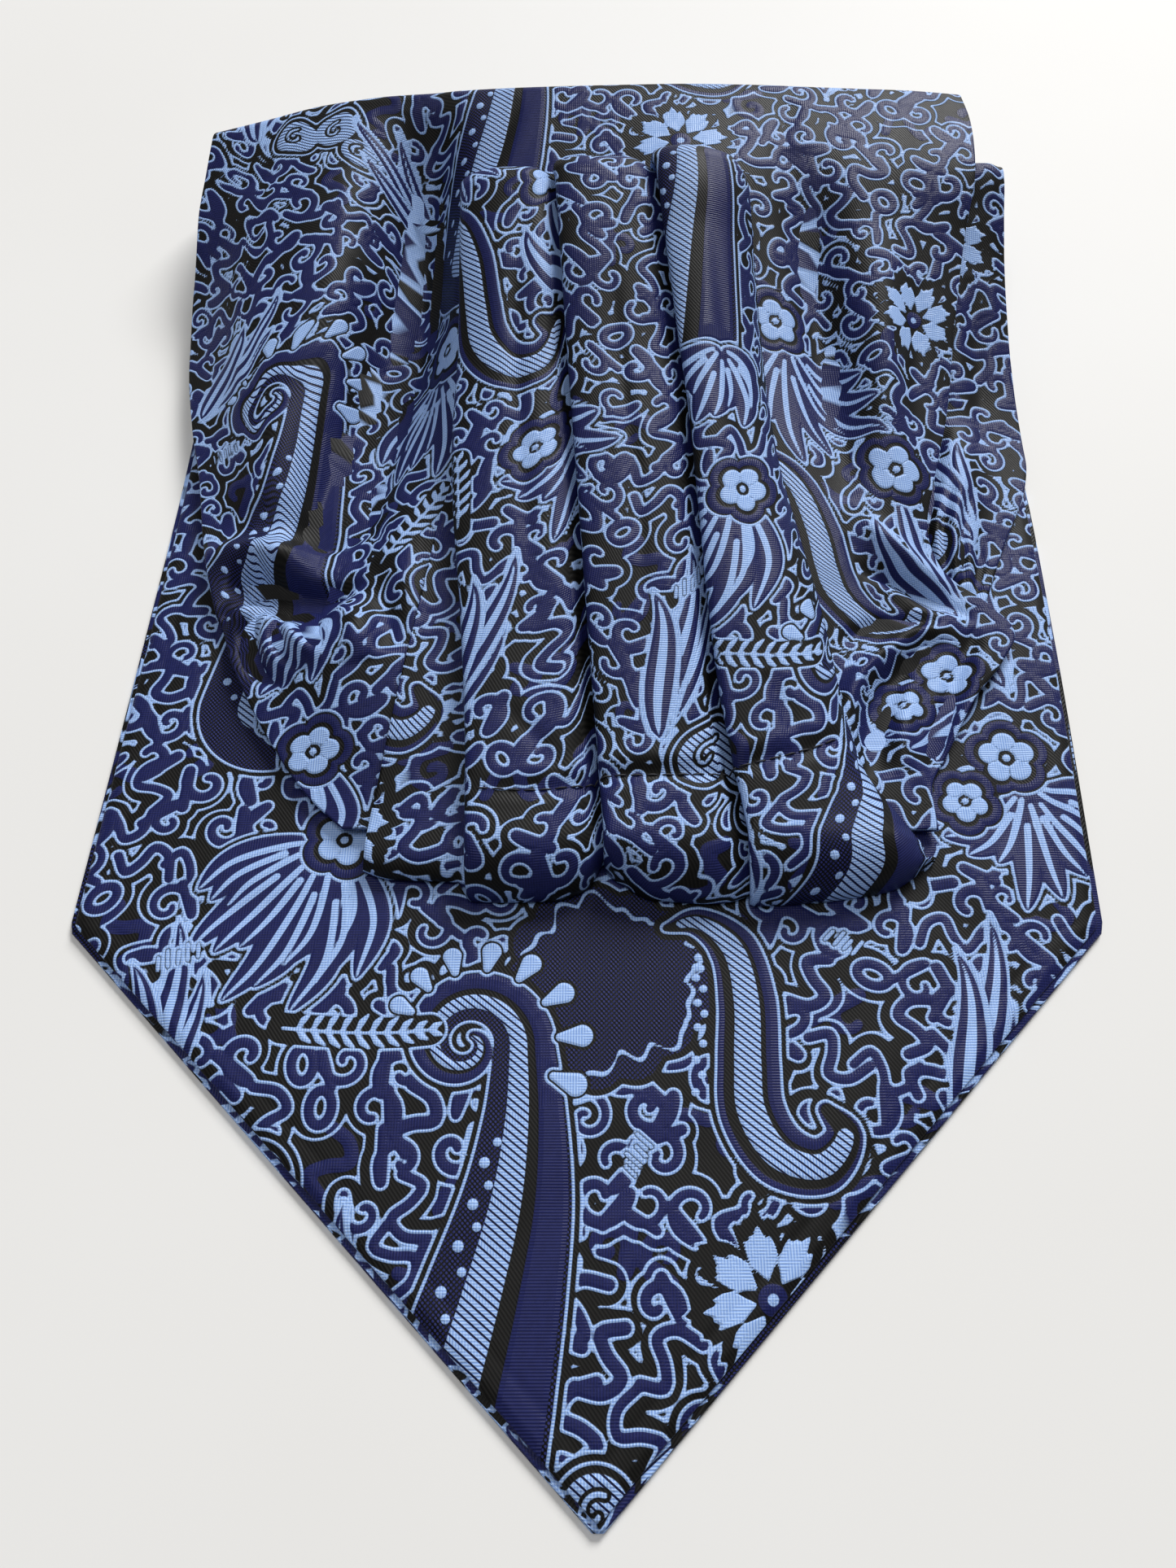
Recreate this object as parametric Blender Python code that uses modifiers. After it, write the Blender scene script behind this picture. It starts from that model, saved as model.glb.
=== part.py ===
"""A silk cravat, folded and laid on a table: the cloth as solid walls.

The front blade lies flat, its 90 degree point toward the viewer. At the far fold the
cloth turns over and comes back as the return panel, which gathers into the pleated
neckband on top. Sizes in the tables are in millimetres, with X to the right, Y away
from the viewer and Z up. The part is moved onto its own origin at the end.
"""

import math

import bpy
import numpy as np

MM = 0.001

# Driving sizes, in millimetres
TIP_Y = -11.7
TIP_X = 1.2
CORNER_Y = 65.6
CORNER_LEFT = -77.9
CORNER_RIGHT = 77.5
BLADE_WALL = 1.8
FACING = 0.8
FACING_REACH = 0.6
HEM_STEP = 0.7
HEM_ROUND = 0.45
# The point's edges slant at 45 degrees, so a width measured across them is greater.
SLANT = 1.4
BLADE_WAVES = (0.12, 0.06, 0.10)

WALL = 1.3
SEAM = 0.35
RESTING = 3.6
CREST_Y = 233.0
CREST_DEPTH = 6.5
PANEL_NEAR = 81.0

INNER_NEAR = 150.0
INNER_CREST = 217.0
INNER_DEPTH = 4.5
INNER_LEFT = 51.0
INNER_RIGHT = 81.6
INNER_LOWEST = 3.8
INNER_DROP = 0.9

PLEAT_WALL = 1.2
PLEAT_GAP = 0.45
PLEAT_DEPTH = 5.0
PLEAT_EDGE = 0.8
BAND_REST = 0.5
NEAR_ROLL_Y = 78.0
NEAR_ROLL = 1.7
FAR_ROLL_Y = 201.0
FAR_ROLL = 3.0

# Sides of the front blade from its two corners to the far fold.
BLADE_SIDES = (
    # y,    left,  right
    (CORNER_Y, CORNER_LEFT, CORNER_RIGHT),
    (120.0, -76.1, 80.2),
    (156.0, -75.2, 81.2),
    (230.0, -75.0, 80.5),
)

# Height of the return panel's upper face over the table. A row for each section,
# nearest first, with its y and then a height at each place across.
ACROSS = (-80, -66, -54, -47, -40, -31, -25, -12, 5, 20, 34, 44, 54, 64, 76)
PANEL_HEIGHTS = (
    (74.0, (3.6, 3.6, 3.6, 3.6, 3.6, 3.6, 3.6, 3.6, 3.6, 3.6, 3.6, 3.6, 3.6, 3.6, 3.6)),
    (86.0, (3.6, 3.6, 3.7, 3.8, 4.2, 4.9, 4.8, 4.7, 4.6, 4.6, 4.4, 4.0, 3.7, 3.8, 3.9)),
    (97.0, (3.6, 3.7, 4.2, 5.2, 6.8, 7.6, 6.2, 6.0, 6.2, 6.3, 5.6, 4.4, 3.9, 4.2, 4.6)),
    (110.0, (3.6, 4.2, 5.8, 7.6, 10.2, 10.0, 7.6, 7.7, 8.2, 8.4, 7.0, 5.2, 4.0, 4.4, 5.2)),
    (124.0, (3.6, 5.8, 4.9, 4.6, 8.0, 11.0, 9.2, 9.8, 10.8, 11.0, 8.6, 6.8, 5.4, 4.4, 5.0)),
    (138.0, (3.6, 5.8, 7.4, 5.6, 6.2, 9.8, 10.4, 12.0, 13.2, 13.4, 9.8, 8.8, 8.0, 5.2, 5.0)),
    (152.0, (3.6, 6.0, 9.8, 8.4, 6.6, 8.2, 11.4, 14.2, 15.8, 16.0, 11.4, 10.6, 10.8, 6.9, 5.8)),
    (168.0, (3.7, 7.4, 12.4, 12.0, 9.2, 7.0, 13.0, 17.0, 18.6, 19.0, 13.6, 12.6, 14.0, 10.0, 8.0)),
    (184.0, (4.2, 9.4, 15.8, 15.0, 11.8, 7.4, 15.4, 20.0, 21.8, 22.2, 17.0, 16.2, 17.6, 15.0, 11.6)),
    (200.0, (7.0, 13.2, 18.8, 17.4, 14.2, 9.6, 17.4, 21.5, 23.6, 25.4, 21.4, 20.4, 21.4, 20.4, 17.4)),
    (214.0, (12.0, 17.4, 21.8, 21.2, 18.8, 14.6, 20.6, 23.6, 25.2, 26.8, 25.8, 25.2, 25.4, 25.3, 24.4)),
    (233.0, (17.6, 21.0, 24.0, 25.2, 26.2, 27.0, 27.4, 28.0, 28.4, 28.6, 28.4, 28.0, 27.6, 27.2, 26.2)),
)

# Plan outline of the return panel: a row for each section, nearest first.
PANEL_EDGES = (
    # y,     left,  right
    (74.0, -33.0, 53.0),
    (80.0, -37.0, 54.2),
    (87.0, -44.1, 54.0),
    (95.0, -50.0, 57.5),
    (103.6, -55.2, 62.5),
    (112.0, -59.4, 69.0),
    (118.0, -61.8, 72.0),
    (124.0, -64.0, 68.5),
    (131.0, -66.2, 61.5),
    (138.0, -68.0, 59.8),
    (150.5, -70.6, 62.6),
    (165.0, -74.4, 66.4),
    (182.0, -77.6, 69.2),
    (200.0, -78.8, 72.2),
    (214.0, -78.8, 74.8),
    (225.0, -77.8, 75.4),
    (240.0, -76.6, 73.2),
)

# Height of the inner stretch at the right, over the table.
INNER_HEIGHTS = (
    # y,    valley, edge
    (148.0, 3.8, 3.8),
    (160.0, 4.3, 4.0),
    (170.0, 6.0, 4.9),
    (180.0, 8.6, 7.2),
    (190.0, 12.0, 10.6),
    (200.0, 15.4, 14.4),
    (208.0, 18.9, 18.4),
    (217.0, 22.5, 22.6),
    (225.0, 22.8, 22.8),
)

# Fold edges of the neckband's pleats, far end first.
PLEATS = (
    # y,    flank, fold_a, fold_b, fold_c, right, crown
    (206.0, -22.2, -23.4, -6.0, 12.1, 29.3, 1.7),
    (190.0, -22.0, -23.2, -5.0, 13.6, 30.4, 1.9),
    (172.0, -21.8, -22.9, -3.8, 15.6, 31.6, 2.0),
    (152.0, -22.6, -23.2, -2.4, 17.6, 33.2, 2.0),
    (136.0, -25.6, -22.4, -1.3, 18.6, 35.8, 1.9),
    (118.0, -28.0, -20.6, -0.1, 19.6, 39.2, 1.7),
    (101.0, -30.6, -19.2, 1.1, 21.0, 41.4, 1.5),
    (91.0, -32.2, -18.6, 1.8, 22.4, 43.4, 1.3),
    (82.0, -33.6, -18.3, 2.4, 23.8, 48.5, 1.1),
    (74.0, -34.4, -18.0, 2.9, 24.8, 53.5, 1.0),
)

# Plan outline of the hidden layers: a row for each section, nearest first.
HIDDEN_EDGES = (
    # y,    left,  right
    (93.0, -34.0, 36.0),
    (98.0, -40.0, 38.0),
    (110.0, -45.5, 41.0),
    (124.0, -41.5, 46.0),
    (138.0, -43.5, 51.0),
    (150.0, -60.0, 54.0),
    (158.0, -63.0, 57.0),
    (168.0, -65.0, 60.0),
    (177.0, -67.0, 68.0),
    (184.0, -68.5, 79.0),
    (192.0, -70.0, 80.4),
    (205.0, -72.5, 80.8),
    (211.5, -73.5, 80.6),
    (214.5, -74.0, 48.4),
    (222.4, -74.2, 48.6),
    (223.4, -74.2, 71.6),
    (229.0, -74.2, 71.8),
    (236.8, -72.6, 70.2),
)
LAYERS = 5
LAYER_GROOVE = 0.7
# Where the hidden layers step down from the panel's underside to the inner stretch's.
STEP_LEFT = 45.0
STEP_RIGHT = 49.5


def tangents(xs, ys):
    """Slopes of a monotone cubic through the rows of ys, so that it never overshoots."""
    steps = np.diff(xs)[:, None]
    rises = np.diff(ys, axis=0) / steps
    slopes = np.zeros_like(ys)
    slopes[0] = rises[0]
    slopes[-1] = rises[-1]
    same = rises[:-1] * rises[1:] > 0
    total = np.where(same, rises[:-1] + rises[1:], 1.0)
    slopes[1:-1] = np.where(same, 2 * rises[:-1] * rises[1:] / total, 0.0)
    return slopes


def through(xs, ys, at):
    """The smooth line through (xs, ys), read at each of at. ys may hold a column for each."""
    xs = np.asarray(xs, float)
    ys = np.asarray(ys, float)
    at = np.clip(np.atleast_1d(np.asarray(at, float)), xs[0], xs[-1])
    if ys.ndim == 1:
        ys = np.repeat(ys[:, None], len(at), axis=1)
    slopes = tangents(xs, ys)
    row = np.clip(np.searchsorted(xs, at, side="right") - 1, 0, len(xs) - 2)
    col = np.arange(len(at))
    step = xs[row + 1] - xs[row]
    t = (at - xs[row]) / step
    low, high = ys[row, col], ys[row + 1, col]
    out, into = slopes[row, col] * step, slopes[row + 1, col] * step
    value = low * (1 + 2 * t) * (1 - t) ** 2 + out * t * (1 - t) ** 2
    return value + high * t * t * (3 - 2 * t) + into * t * t * (t - 1)


def column(table, index):
    return [row[index] for row in table]


def smoothstep(low, high, x):
    t = np.clip((np.asarray(x, float) - low) / (high - low), 0.0, 1.0)
    return t * t * (3 - 2 * t)


def panel_table(x, y):
    rows = np.array([through(ACROSS, row[1], x) for row in PANEL_HEIGHTS])
    return through(column(PANEL_HEIGHTS, 0), rows, y)


def panel_top(x, y):
    """The return panel's upper face, softened over a few millimetres."""
    x = np.atleast_1d(np.asarray(x, float))
    y = np.broadcast_to(np.asarray(y, float), x.shape)
    total = 2 * panel_table(x, y)
    for dx, dy in ((3, 0), (-3, 0), (0, 4), (0, -4)):
        total = total + panel_table(x + dx, y + dy)
    return total / 6


def slope_factor(surface, x, y):
    """How much taller than its thickness a wall stands, measured straight down."""
    gx = (surface(x + 0.5, y) - surface(x - 0.5, y))
    gy = (surface(x, y + 0.5) - surface(x, y - 0.5))
    return np.sqrt(1 + gx * gx + gy * gy)


def inner_top(x, y):
    """The inner stretch's upper face: it runs up under the panel at its left."""
    x = np.atleast_1d(np.asarray(x, float))
    y = np.broadcast_to(np.asarray(y, float), x.shape)
    ys = column(INNER_HEIGHTS, 0)
    valley = through(ys, column(INNER_HEIGHTS, 1), y)
    edge = through(ys, column(INNER_HEIGHTS, 2), y)
    own = valley + (edge - valley) * smoothstep(68, INNER_RIGHT, x)
    droop = INNER_DROP * smoothstep(INNER_RIGHT - 3, INNER_RIGHT, x)
    own = own - droop * smoothstep(168, 195, y)
    under = np.maximum(panel_top(x, y) - WALL - 1.2, INNER_LOWEST)
    # Left of the panel's edge the panel lies on this stretch; right of it nothing does.
    covered = under + CREST_Y * smoothstep(60, 76, x)
    return np.minimum(own + (under - own) * smoothstep(66, 54, x), covered)


def under_side(surface, x, y):
    """The lowest that the wall below surface comes within a few millimetres of (x, y)."""
    lowest = np.full(x.shape, 1e3)
    for dx, dy in ((0, 0), (2.4, 0), (-2.4, 0), (0, 3.0), (0, -3.0)):
        wall = WALL * slope_factor(surface, x + dx, y + dy)
        lowest = np.minimum(lowest, surface(x + dx, y + dy) - wall)
    return lowest


def hidden_top(x, y):
    """The hidden layers' upper face, just clear of what lies on them."""
    x = np.atleast_1d(np.asarray(x, float))
    y = np.broadcast_to(np.asarray(y, float), x.shape)
    panel = under_side(panel_top, x, y) - SEAM
    inner = np.minimum(under_side(inner_top, x, y) - SEAM, panel)
    at_inner = smoothstep(STEP_LEFT, STEP_RIGHT, x)
    at_inner = at_inner * smoothstep(INNER_NEAR - 9, INNER_NEAR - 2, y)
    return panel + (inner - panel) * at_inner


def keep(name, mesh, colour, roughness):
    """Puts the mesh in the cravat's collection with a material of its own."""
    material = bpy.data.materials.new(name)
    material.use_nodes = True
    shader = material.node_tree.nodes["Principled BSDF"]
    shader.inputs["Base Color"].default_value = (*colour, 1.0)
    shader.inputs["Roughness"].default_value = roughness
    shader.inputs["Metallic"].default_value = 0.0
    mesh.materials.append(material)
    part = bpy.data.objects.new(name, mesh)
    cravat.objects.link(part)
    part.parent = stand
    mesh.shade_smooth()
    mesh.set_sharp_from_angle(angle=math.radians(50))
    return part


def loft(name, rings, colour, roughness):
    """A closed body through rings of equally many points, its two ends capped."""
    count = len(rings[0])
    points = [tuple(c * MM for c in point) for ring in rings for point in ring]
    faces = []
    for r in range(len(rings) - 1):
        for i in range(count):
            j = (i + 1) % count
            low, high = r * count, (r + 1) * count
            faces.append((low + i, low + j, high + j, high + i))
    faces.append(tuple(reversed(range(count))))
    faces.append(tuple((len(rings) - 1) * count + i for i in range(count)))
    mesh = bpy.data.meshes.new(name)
    mesh.from_pydata(points, [], faces)
    return keep(name, mesh, colour, roughness)


def cloth(name, grid, thickness, colour, roughness):
    """A wall of even thickness under an open grid of points, rows of equal length."""
    rows, cols = len(grid), len(grid[0])
    points = [tuple(c * MM for c in point) for row in grid for point in row]
    faces = []
    for r in range(rows - 1):
        for c in range(cols - 1):
            a = r * cols + c
            faces.append((a, a + 1, a + cols + 1, a + cols))
    mesh = bpy.data.meshes.new(name)
    mesh.from_pydata(points, [], faces)
    part = keep(name, mesh, colour, roughness)
    wall = part.modifiers.new("wall", "SOLIDIFY")
    wall.thickness = thickness * MM
    wall.offset = -1.0
    wall.use_even_offset = True
    return part


def blade_edges(y):
    """Left and right edge of the front blade at y."""
    ys = column(BLADE_SIDES, 0)
    share = min(1.0, (y - TIP_Y) / (CORNER_Y - TIP_Y))
    left = TIP_X + (through(ys, column(BLADE_SIDES, 1), y)[0] - TIP_X) * share
    right = TIP_X + (through(ys, column(BLADE_SIDES, 2), y)[0] - TIP_X) * share
    return left - FACING_REACH, right + FACING_REACH


def front_blade():
    """The flat blade: faced, with the facing's edge a little outside the hem."""
    sections = [TIP_Y, TIP_Y + 1.2, TIP_Y + 3.5, TIP_Y + 8, 8, 22, 38, 53, 62]
    sections += [CORNER_Y - 0.8, CORNER_Y, 70, 84, 100, 118, 136, 154, 172, 190, 208, 224]
    sections += [CREST_Y - 0.2]
    long_wave, short_wave, ripple = BLADE_WAVES
    rings = []
    for y in sections:
        left, right = blade_edges(y)
        run = SLANT if y < CORNER_Y else 1.0
        width = right - left
        step = min(HEM_STEP * run, width * 0.12)
        turn = min(HEM_ROUND * run, width * 0.08)
        crown = long_wave * math.sin(y / 21.0) + short_wave * math.sin(y / 7.0)
        lift = BLADE_WALL + (crown if width > 20 else 0.0)
        flat = np.linspace(left + turn, right - turn, 9)
        ring = [(x, y, 0.0) for x in flat]
        ring += [(right, y, 0.3), (right, y, FACING - 0.2), (right - turn * 0.6, y, FACING)]
        ring += [(right - step, y, FACING + 0.12), (right - step + 0.1, y, BLADE_WALL - 0.35)]
        top = np.linspace(right - step - turn, left + step + turn, 9)
        for k, x in enumerate(top):
            dip = ripple * math.sin(k * 1.7 + y / 13.0) if 0 < k < 8 else -ripple
            ring.append((x, y, lift + dip * min(1.0, width / 40)))
        ring += [(left + step - 0.1, y, BLADE_WALL - 0.35), (left + step, y, FACING + 0.12)]
        ring += [(left + turn * 0.6, y, FACING), (left, y, FACING - 0.2), (left, y, 0.3)]
        rings.append(ring)
    return loft("front_blade", [ring[::-1] for ring in rings], (0.075, 0.09, 0.17), 0.42)


def curl(top, crest, depth, foot, turns):
    """Offsets (along, height) of a fold that turns down from top to foot behind crest."""
    half = (top - foot) / 2
    return [
        (crest + depth * math.sin(a), foot + half + half * math.cos(a))
        for a in np.radians(turns)
    ]


def return_panel():
    """The wide panel: from under the neckband's near end to the far fold and down it."""
    sections = list(np.linspace(PANEL_NEAR, CREST_Y, 31))
    share = np.linspace(0, 1, 37)
    ys = column(PANEL_EDGES, 0)
    grid = []
    for y in sections:
        left = through(ys, column(PANEL_EDGES, 1), y)[0]
        right = through(ys, column(PANEL_EDGES, 2), y)[0]
        xs = left + (right - left) * share
        grid.append([(x, y, z) for x, z in zip(xs, panel_top(xs, y))])
    crest = grid[-1]
    turns = (20, 40, 62, 86, 110, 132, 152, 170)
    folds = [curl(z, CREST_Y, CREST_DEPTH, 0.0, turns) for _, _, z in crest]
    for k in range(len(turns)):
        grid.append([(x, folds[c][k][0], folds[c][k][1]) for c, (x, _, _) in enumerate(crest)])
    return cloth("return_panel", grid, WALL, (0.07, 0.085, 0.17), 0.42)


def under_fold():
    """The inner stretch that shows as a strip at the right, with its own far fold."""
    sections = list(np.linspace(INNER_NEAR, INNER_CREST, 14))
    xs = np.array([INNER_LEFT, 55.5, 60, 64.5, 69, 73.5, 77.5, 80.2, INNER_RIGHT])
    grid = [[(x, y, z) for x, z in zip(xs, inner_top(xs, y))] for y in sections]
    crest = grid[-1]
    turns = (25, 50, 78, 106, 132, 155)
    folds = [curl(z, INNER_CREST, INNER_DEPTH, RESTING, turns) for _, _, z in crest]
    for k in range(len(turns)):
        grid.append([(x, folds[c][k][0], folds[c][k][1]) for c, (x, _, _) in enumerate(crest)])
    return cloth("under_fold", grid, WALL, (0.07, 0.085, 0.16), 0.42)


def turn_at(x, low, high, side):
    """A half turn of the cloth's middle line between two layers, at x."""
    radius = (high - low) / 2
    return [
        (x + side * radius * math.sin(a), low + radius - radius * math.cos(a))
        for a in np.radians((30, 90, 150))
    ]


def pleat_line(flank, folds, right, crown):
    """Middle line of the pleated cloth across the band, from left to right.

    Each pleat's face runs right and down under the next one. The cloth turns there,
    comes back between the two and turns over the next fold edge."""
    pitch = PLEAT_WALL + PLEAT_GAP
    low = PLEAT_WALL / 2
    start = folds[0] + PLEAT_DEPTH
    line = [(flank, low), (flank + (start - flank) * 0.4, low + 0.15)]
    for k, fold in enumerate(folds):
        far = folds[k + 1] if k + 1 < len(folds) else right
        line.append((fold + PLEAT_DEPTH, low))
        line += turn_at(fold + PLEAT_DEPTH, low, low + pitch, 1)
        line.append((fold + PLEAT_DEPTH * 0.5, low + pitch))
        line.append((fold + PLEAT_EDGE, low + pitch))
        line += turn_at(fold + PLEAT_EDGE, low + pitch, low + 2 * pitch, -1)
        width = far - fold
        top = low + 2 * pitch
        for share, height in ((0.14, 0.55), (0.3, 1.0), (0.5, 0.86), (0.7, 0.3)):
            line.append((fold + PLEAT_EDGE + (width - PLEAT_EDGE) * share, top + crown * height))
        foot = fold + PLEAT_EDGE + (width - PLEAT_EDGE) * 0.86
        line.append((foot, low + pitch * 1.15 + crown * 0.3))
        line.append((far - 0.9 - 0.02 * width, low + 0.35))
    line.append((right, low))
    return line


def both_sides(line, thickness):
    """A closed outline round the middle line: its upper side, then its lower side."""
    points = np.array(line)
    along = np.gradient(points, axis=0)
    along /= np.linalg.norm(along, axis=1)[:, None]
    normal = np.stack([-along[:, 1], along[:, 0]], axis=1)
    upper = points + normal * thickness / 2
    lower = points - normal * thickness / 2
    return np.concatenate([upper, lower[::-1]])


def neckband():
    """The pleated band, turned down at both ends.

    The sections stand upright along the band and tilt like a fan round each roll."""
    ys = column(PLEATS, 0)[::-1]

    def at(index, y):
        return through(ys, column(PLEATS, index)[::-1], y)[0]

    def outline(y):
        folds = [at(k, y) for k in (2, 3, 4)]
        return both_sides(pleat_line(at(1, y), folds, at(5, y), at(6, y)), PLEAT_WALL)

    def rest(x, y):
        """Height of the band's underside, lifted clear of the panel at its far roll."""
        lift = FAR_ROLL * smoothstep(160.0, FAR_ROLL_Y - 4, y)
        beyond = y + 8.0 * smoothstep(186.0, FAR_ROLL_Y, y)
        return panel_top(x, beyond) + BAND_REST + lift

    rings = []
    for angle in (90, 67, 45, 22):
        a = math.radians(angle)
        shape = outline(ys[-1])
        base = rest(shape[:, 0], FAR_ROLL_Y)
        reach = FAR_ROLL + shape[:, 1]
        ring = [
            (x, FAR_ROLL_Y + d * math.sin(a), z - FAR_ROLL + d * math.cos(a))
            for x, z, d in zip(shape[:, 0], base, reach)
        ]
        rings.append(ring)
    for y in np.linspace(FAR_ROLL_Y, NEAR_ROLL_Y, 22):
        shape = outline(y)
        base = rest(shape[:, 0], max(y, PANEL_NEAR))
        rings.append([(x, y, z + h) for (x, h), z in zip(shape, base)])
    for angle in (30, 60, 88):
        a = math.radians(angle)
        shape = outline(ys[0] + (NEAR_ROLL_Y - ys[0]) * math.cos(a))
        base = rest(shape[:, 0], PANEL_NEAR)
        reach = NEAR_ROLL + shape[:, 1]
        ring = [
            (x, NEAR_ROLL_Y - d * math.sin(a), z - NEAR_ROLL + d * math.cos(a))
            for x, z, d in zip(shape[:, 0], base, reach)
        ]
        rings.append(ring)
    return loft("neckband", [ring[::-1] for ring in rings], (0.08, 0.095, 0.18), 0.42)


def hidden_layers():
    """What the folds hide, as one rounded solid with a groove between its layers."""
    foot = BLADE_WALL + sum(BLADE_WAVES[:2]) + SEAM + 0.07
    ys = column(HIDDEN_EDGES, 0)
    sections = [93, 97, 104, 111, 118, 124, 131, 138, 144, 150, 156, 162, 168, 176]
    sections += [184, 192, 200, 206, 211.5, 214.5, 222.4, 223.4, 228]
    sections += [CREST_Y, CREST_Y + 2.2, CREST_Y + 3.7]
    rings = []
    for y in sections:
        left = through(ys, column(HIDDEN_EDGES, 1), y)[0]
        right = through(ys, column(HIDDEN_EDGES, 2), y)[0]
        inside = min(STEP_LEFT + 1, right - 2.5)
        xs = np.concatenate([[left, left + 1.2], np.linspace(left + 4, inside, 18)])
        xs = np.concatenate([xs, np.linspace(inside, right, 8)[1:]])
        below = np.linspace(left, right, 9)
        top = np.maximum(hidden_top(xs, y), foot + 0.25)
        base = np.full(9, foot)
        if y >= CREST_Y:
            # Round the inside of the far fold, which is half an ellipse.
            share = math.sqrt(1 - ((y - CREST_Y) / (CREST_DEPTH - WALL - 0.6)) ** 2)
            middle = panel_top(xs, CREST_Y) / 2
            top = middle + (middle - WALL - 0.8) * share
            middle = panel_top(below, CREST_Y) / 2
            base = np.maximum(middle - (middle - WALL - 0.8) * share, foot)
        ring = [(x, y, z) for x, z in zip(below, base)]
        steps = np.linspace(0, 1, 2 * LAYERS + 1)[1:-1]
        for k, s in enumerate(steps):
            out = LAYER_GROOVE / 2 * (-1) ** k
            ring.append((right + out, y, base[-1] + (top[-1] - base[-1]) * s))
        ring += [(x, y, z) for x, z in zip(xs[::-1], top[::-1])]
        for k, s in enumerate(steps[::-1]):
            out = LAYER_GROOVE / 2 * (-1) ** k
            ring.append((left - out, y, base[0] + (top[0] - base[0]) * s))
        rings.append(ring[::-1])
    return loft("hidden_layers", rings, (0.05, 0.055, 0.09), 0.55)


for old in list(bpy.data.objects):
    bpy.data.objects.remove(old, do_unlink=True)

cravat = bpy.data.collections.new("cravat")
bpy.context.scene.collection.children.link(cravat)
stand = bpy.data.objects.new("stand", None)
cravat.objects.link(stand)

pieces = [front_blade(), return_panel(), under_fold(), neckband(), hidden_layers()]

# The origin goes to the middle of the outline, on the table.
bpy.context.view_layer.update()
reached = []
seen = bpy.context.evaluated_depsgraph_get()
for piece in pieces:
    shape = piece.evaluated_get(seen).data
    places = np.empty(len(shape.vertices) * 3, np.float32)
    shape.vertices.foreach_get("co", places)
    reached.append(places.reshape(-1, 3))
reached = np.concatenate(reached)
middle = (reached.min(axis=0) + reached.max(axis=0)) / 2
stand.location = (-float(middle[0]), -float(middle[1]), -float(reached[:, 2].min()))
bpy.context.view_layer.update()
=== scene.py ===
# %% [markdown]
# # A silk cravat, folded and laid on a table
# The cravat is one long strip of jacquard silk: a wide pointed blade at each end and a
# pleated band between them. Here the front blade lies flat with its point toward the
# viewer. The cloth turns over a fold at the far side, comes back as a wide panel and
# gathers into the pleated band on top.
# The solid model gives the true sizes. This script dresses it with thin cloth.

# %% Load the solid model
import math

import bpy
import numpy as np
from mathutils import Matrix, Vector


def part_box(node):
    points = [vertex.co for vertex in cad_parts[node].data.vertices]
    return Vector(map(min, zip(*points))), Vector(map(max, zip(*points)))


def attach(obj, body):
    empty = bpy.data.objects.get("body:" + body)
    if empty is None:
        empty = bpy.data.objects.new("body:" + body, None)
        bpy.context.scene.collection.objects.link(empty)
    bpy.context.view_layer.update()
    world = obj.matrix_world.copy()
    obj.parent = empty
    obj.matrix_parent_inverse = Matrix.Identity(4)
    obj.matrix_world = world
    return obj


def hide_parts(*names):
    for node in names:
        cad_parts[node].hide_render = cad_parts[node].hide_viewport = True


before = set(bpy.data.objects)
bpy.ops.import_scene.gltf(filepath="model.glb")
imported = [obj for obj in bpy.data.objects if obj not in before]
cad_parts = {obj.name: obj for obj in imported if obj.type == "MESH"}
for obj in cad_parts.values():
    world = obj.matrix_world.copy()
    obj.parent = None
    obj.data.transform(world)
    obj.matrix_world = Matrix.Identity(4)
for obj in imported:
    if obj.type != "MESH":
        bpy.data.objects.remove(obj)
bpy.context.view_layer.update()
MM = 0.001
print("nodes:", sorted(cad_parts))


# %% Where the table frame lies
TIP_X, TIP_Y = 1.2, -11.7
CORNER_LEFT, CORNER_RIGHT, CORNER_Y = -77.9, 77.5, 65.6
FACING_REACH = 0.6

low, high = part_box("front_blade")
SHIFT = np.array((low[0] / MM - (CORNER_LEFT - FACING_REACH), low[1] / MM - TIP_Y, 0.0))
print("the camera's foot is at", SHIFT, "mm")


def to_world(points):
    """Table millimetres to the part's own frame in metres."""
    return (np.asarray(points, float) + SHIFT) * MM


# %% [markdown]
# ## Camera, floor and light
# The photograph looks down at about 28 degrees from the vertical, from close by, so the
# near point looks wide and the far fold narrow. A phone's usual wide lens gives that.
# The floor is a pale board. One large soft light hangs overhead, so that shadows are
# faint and the silk shows broad, soft highlights.

# %% Camera
CAMERA_HEIGHT = 167.7
CAMERA_TILT = 28.5
LENS = 27.03

lens = bpy.data.cameras.new("camera")
lens.lens = LENS
lens.sensor_width = 36.0
camera = bpy.data.objects.new("camera", lens)
camera.location = to_world((0, 0, CAMERA_HEIGHT))
camera.rotation_euler = (math.radians(CAMERA_TILT), 0, 0)
bpy.context.scene.collection.objects.link(camera)
bpy.context.scene.camera = camera
print("camera at", tuple(round(c, 4) for c in camera.location))


# %% [markdown]
# ## Shader maths as plain expressions
# A material's maths reads best as a formula. The small class below wraps one socket, so
# that `1 - mask` or `wave * 0.5` adds the Math node that does it.

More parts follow.
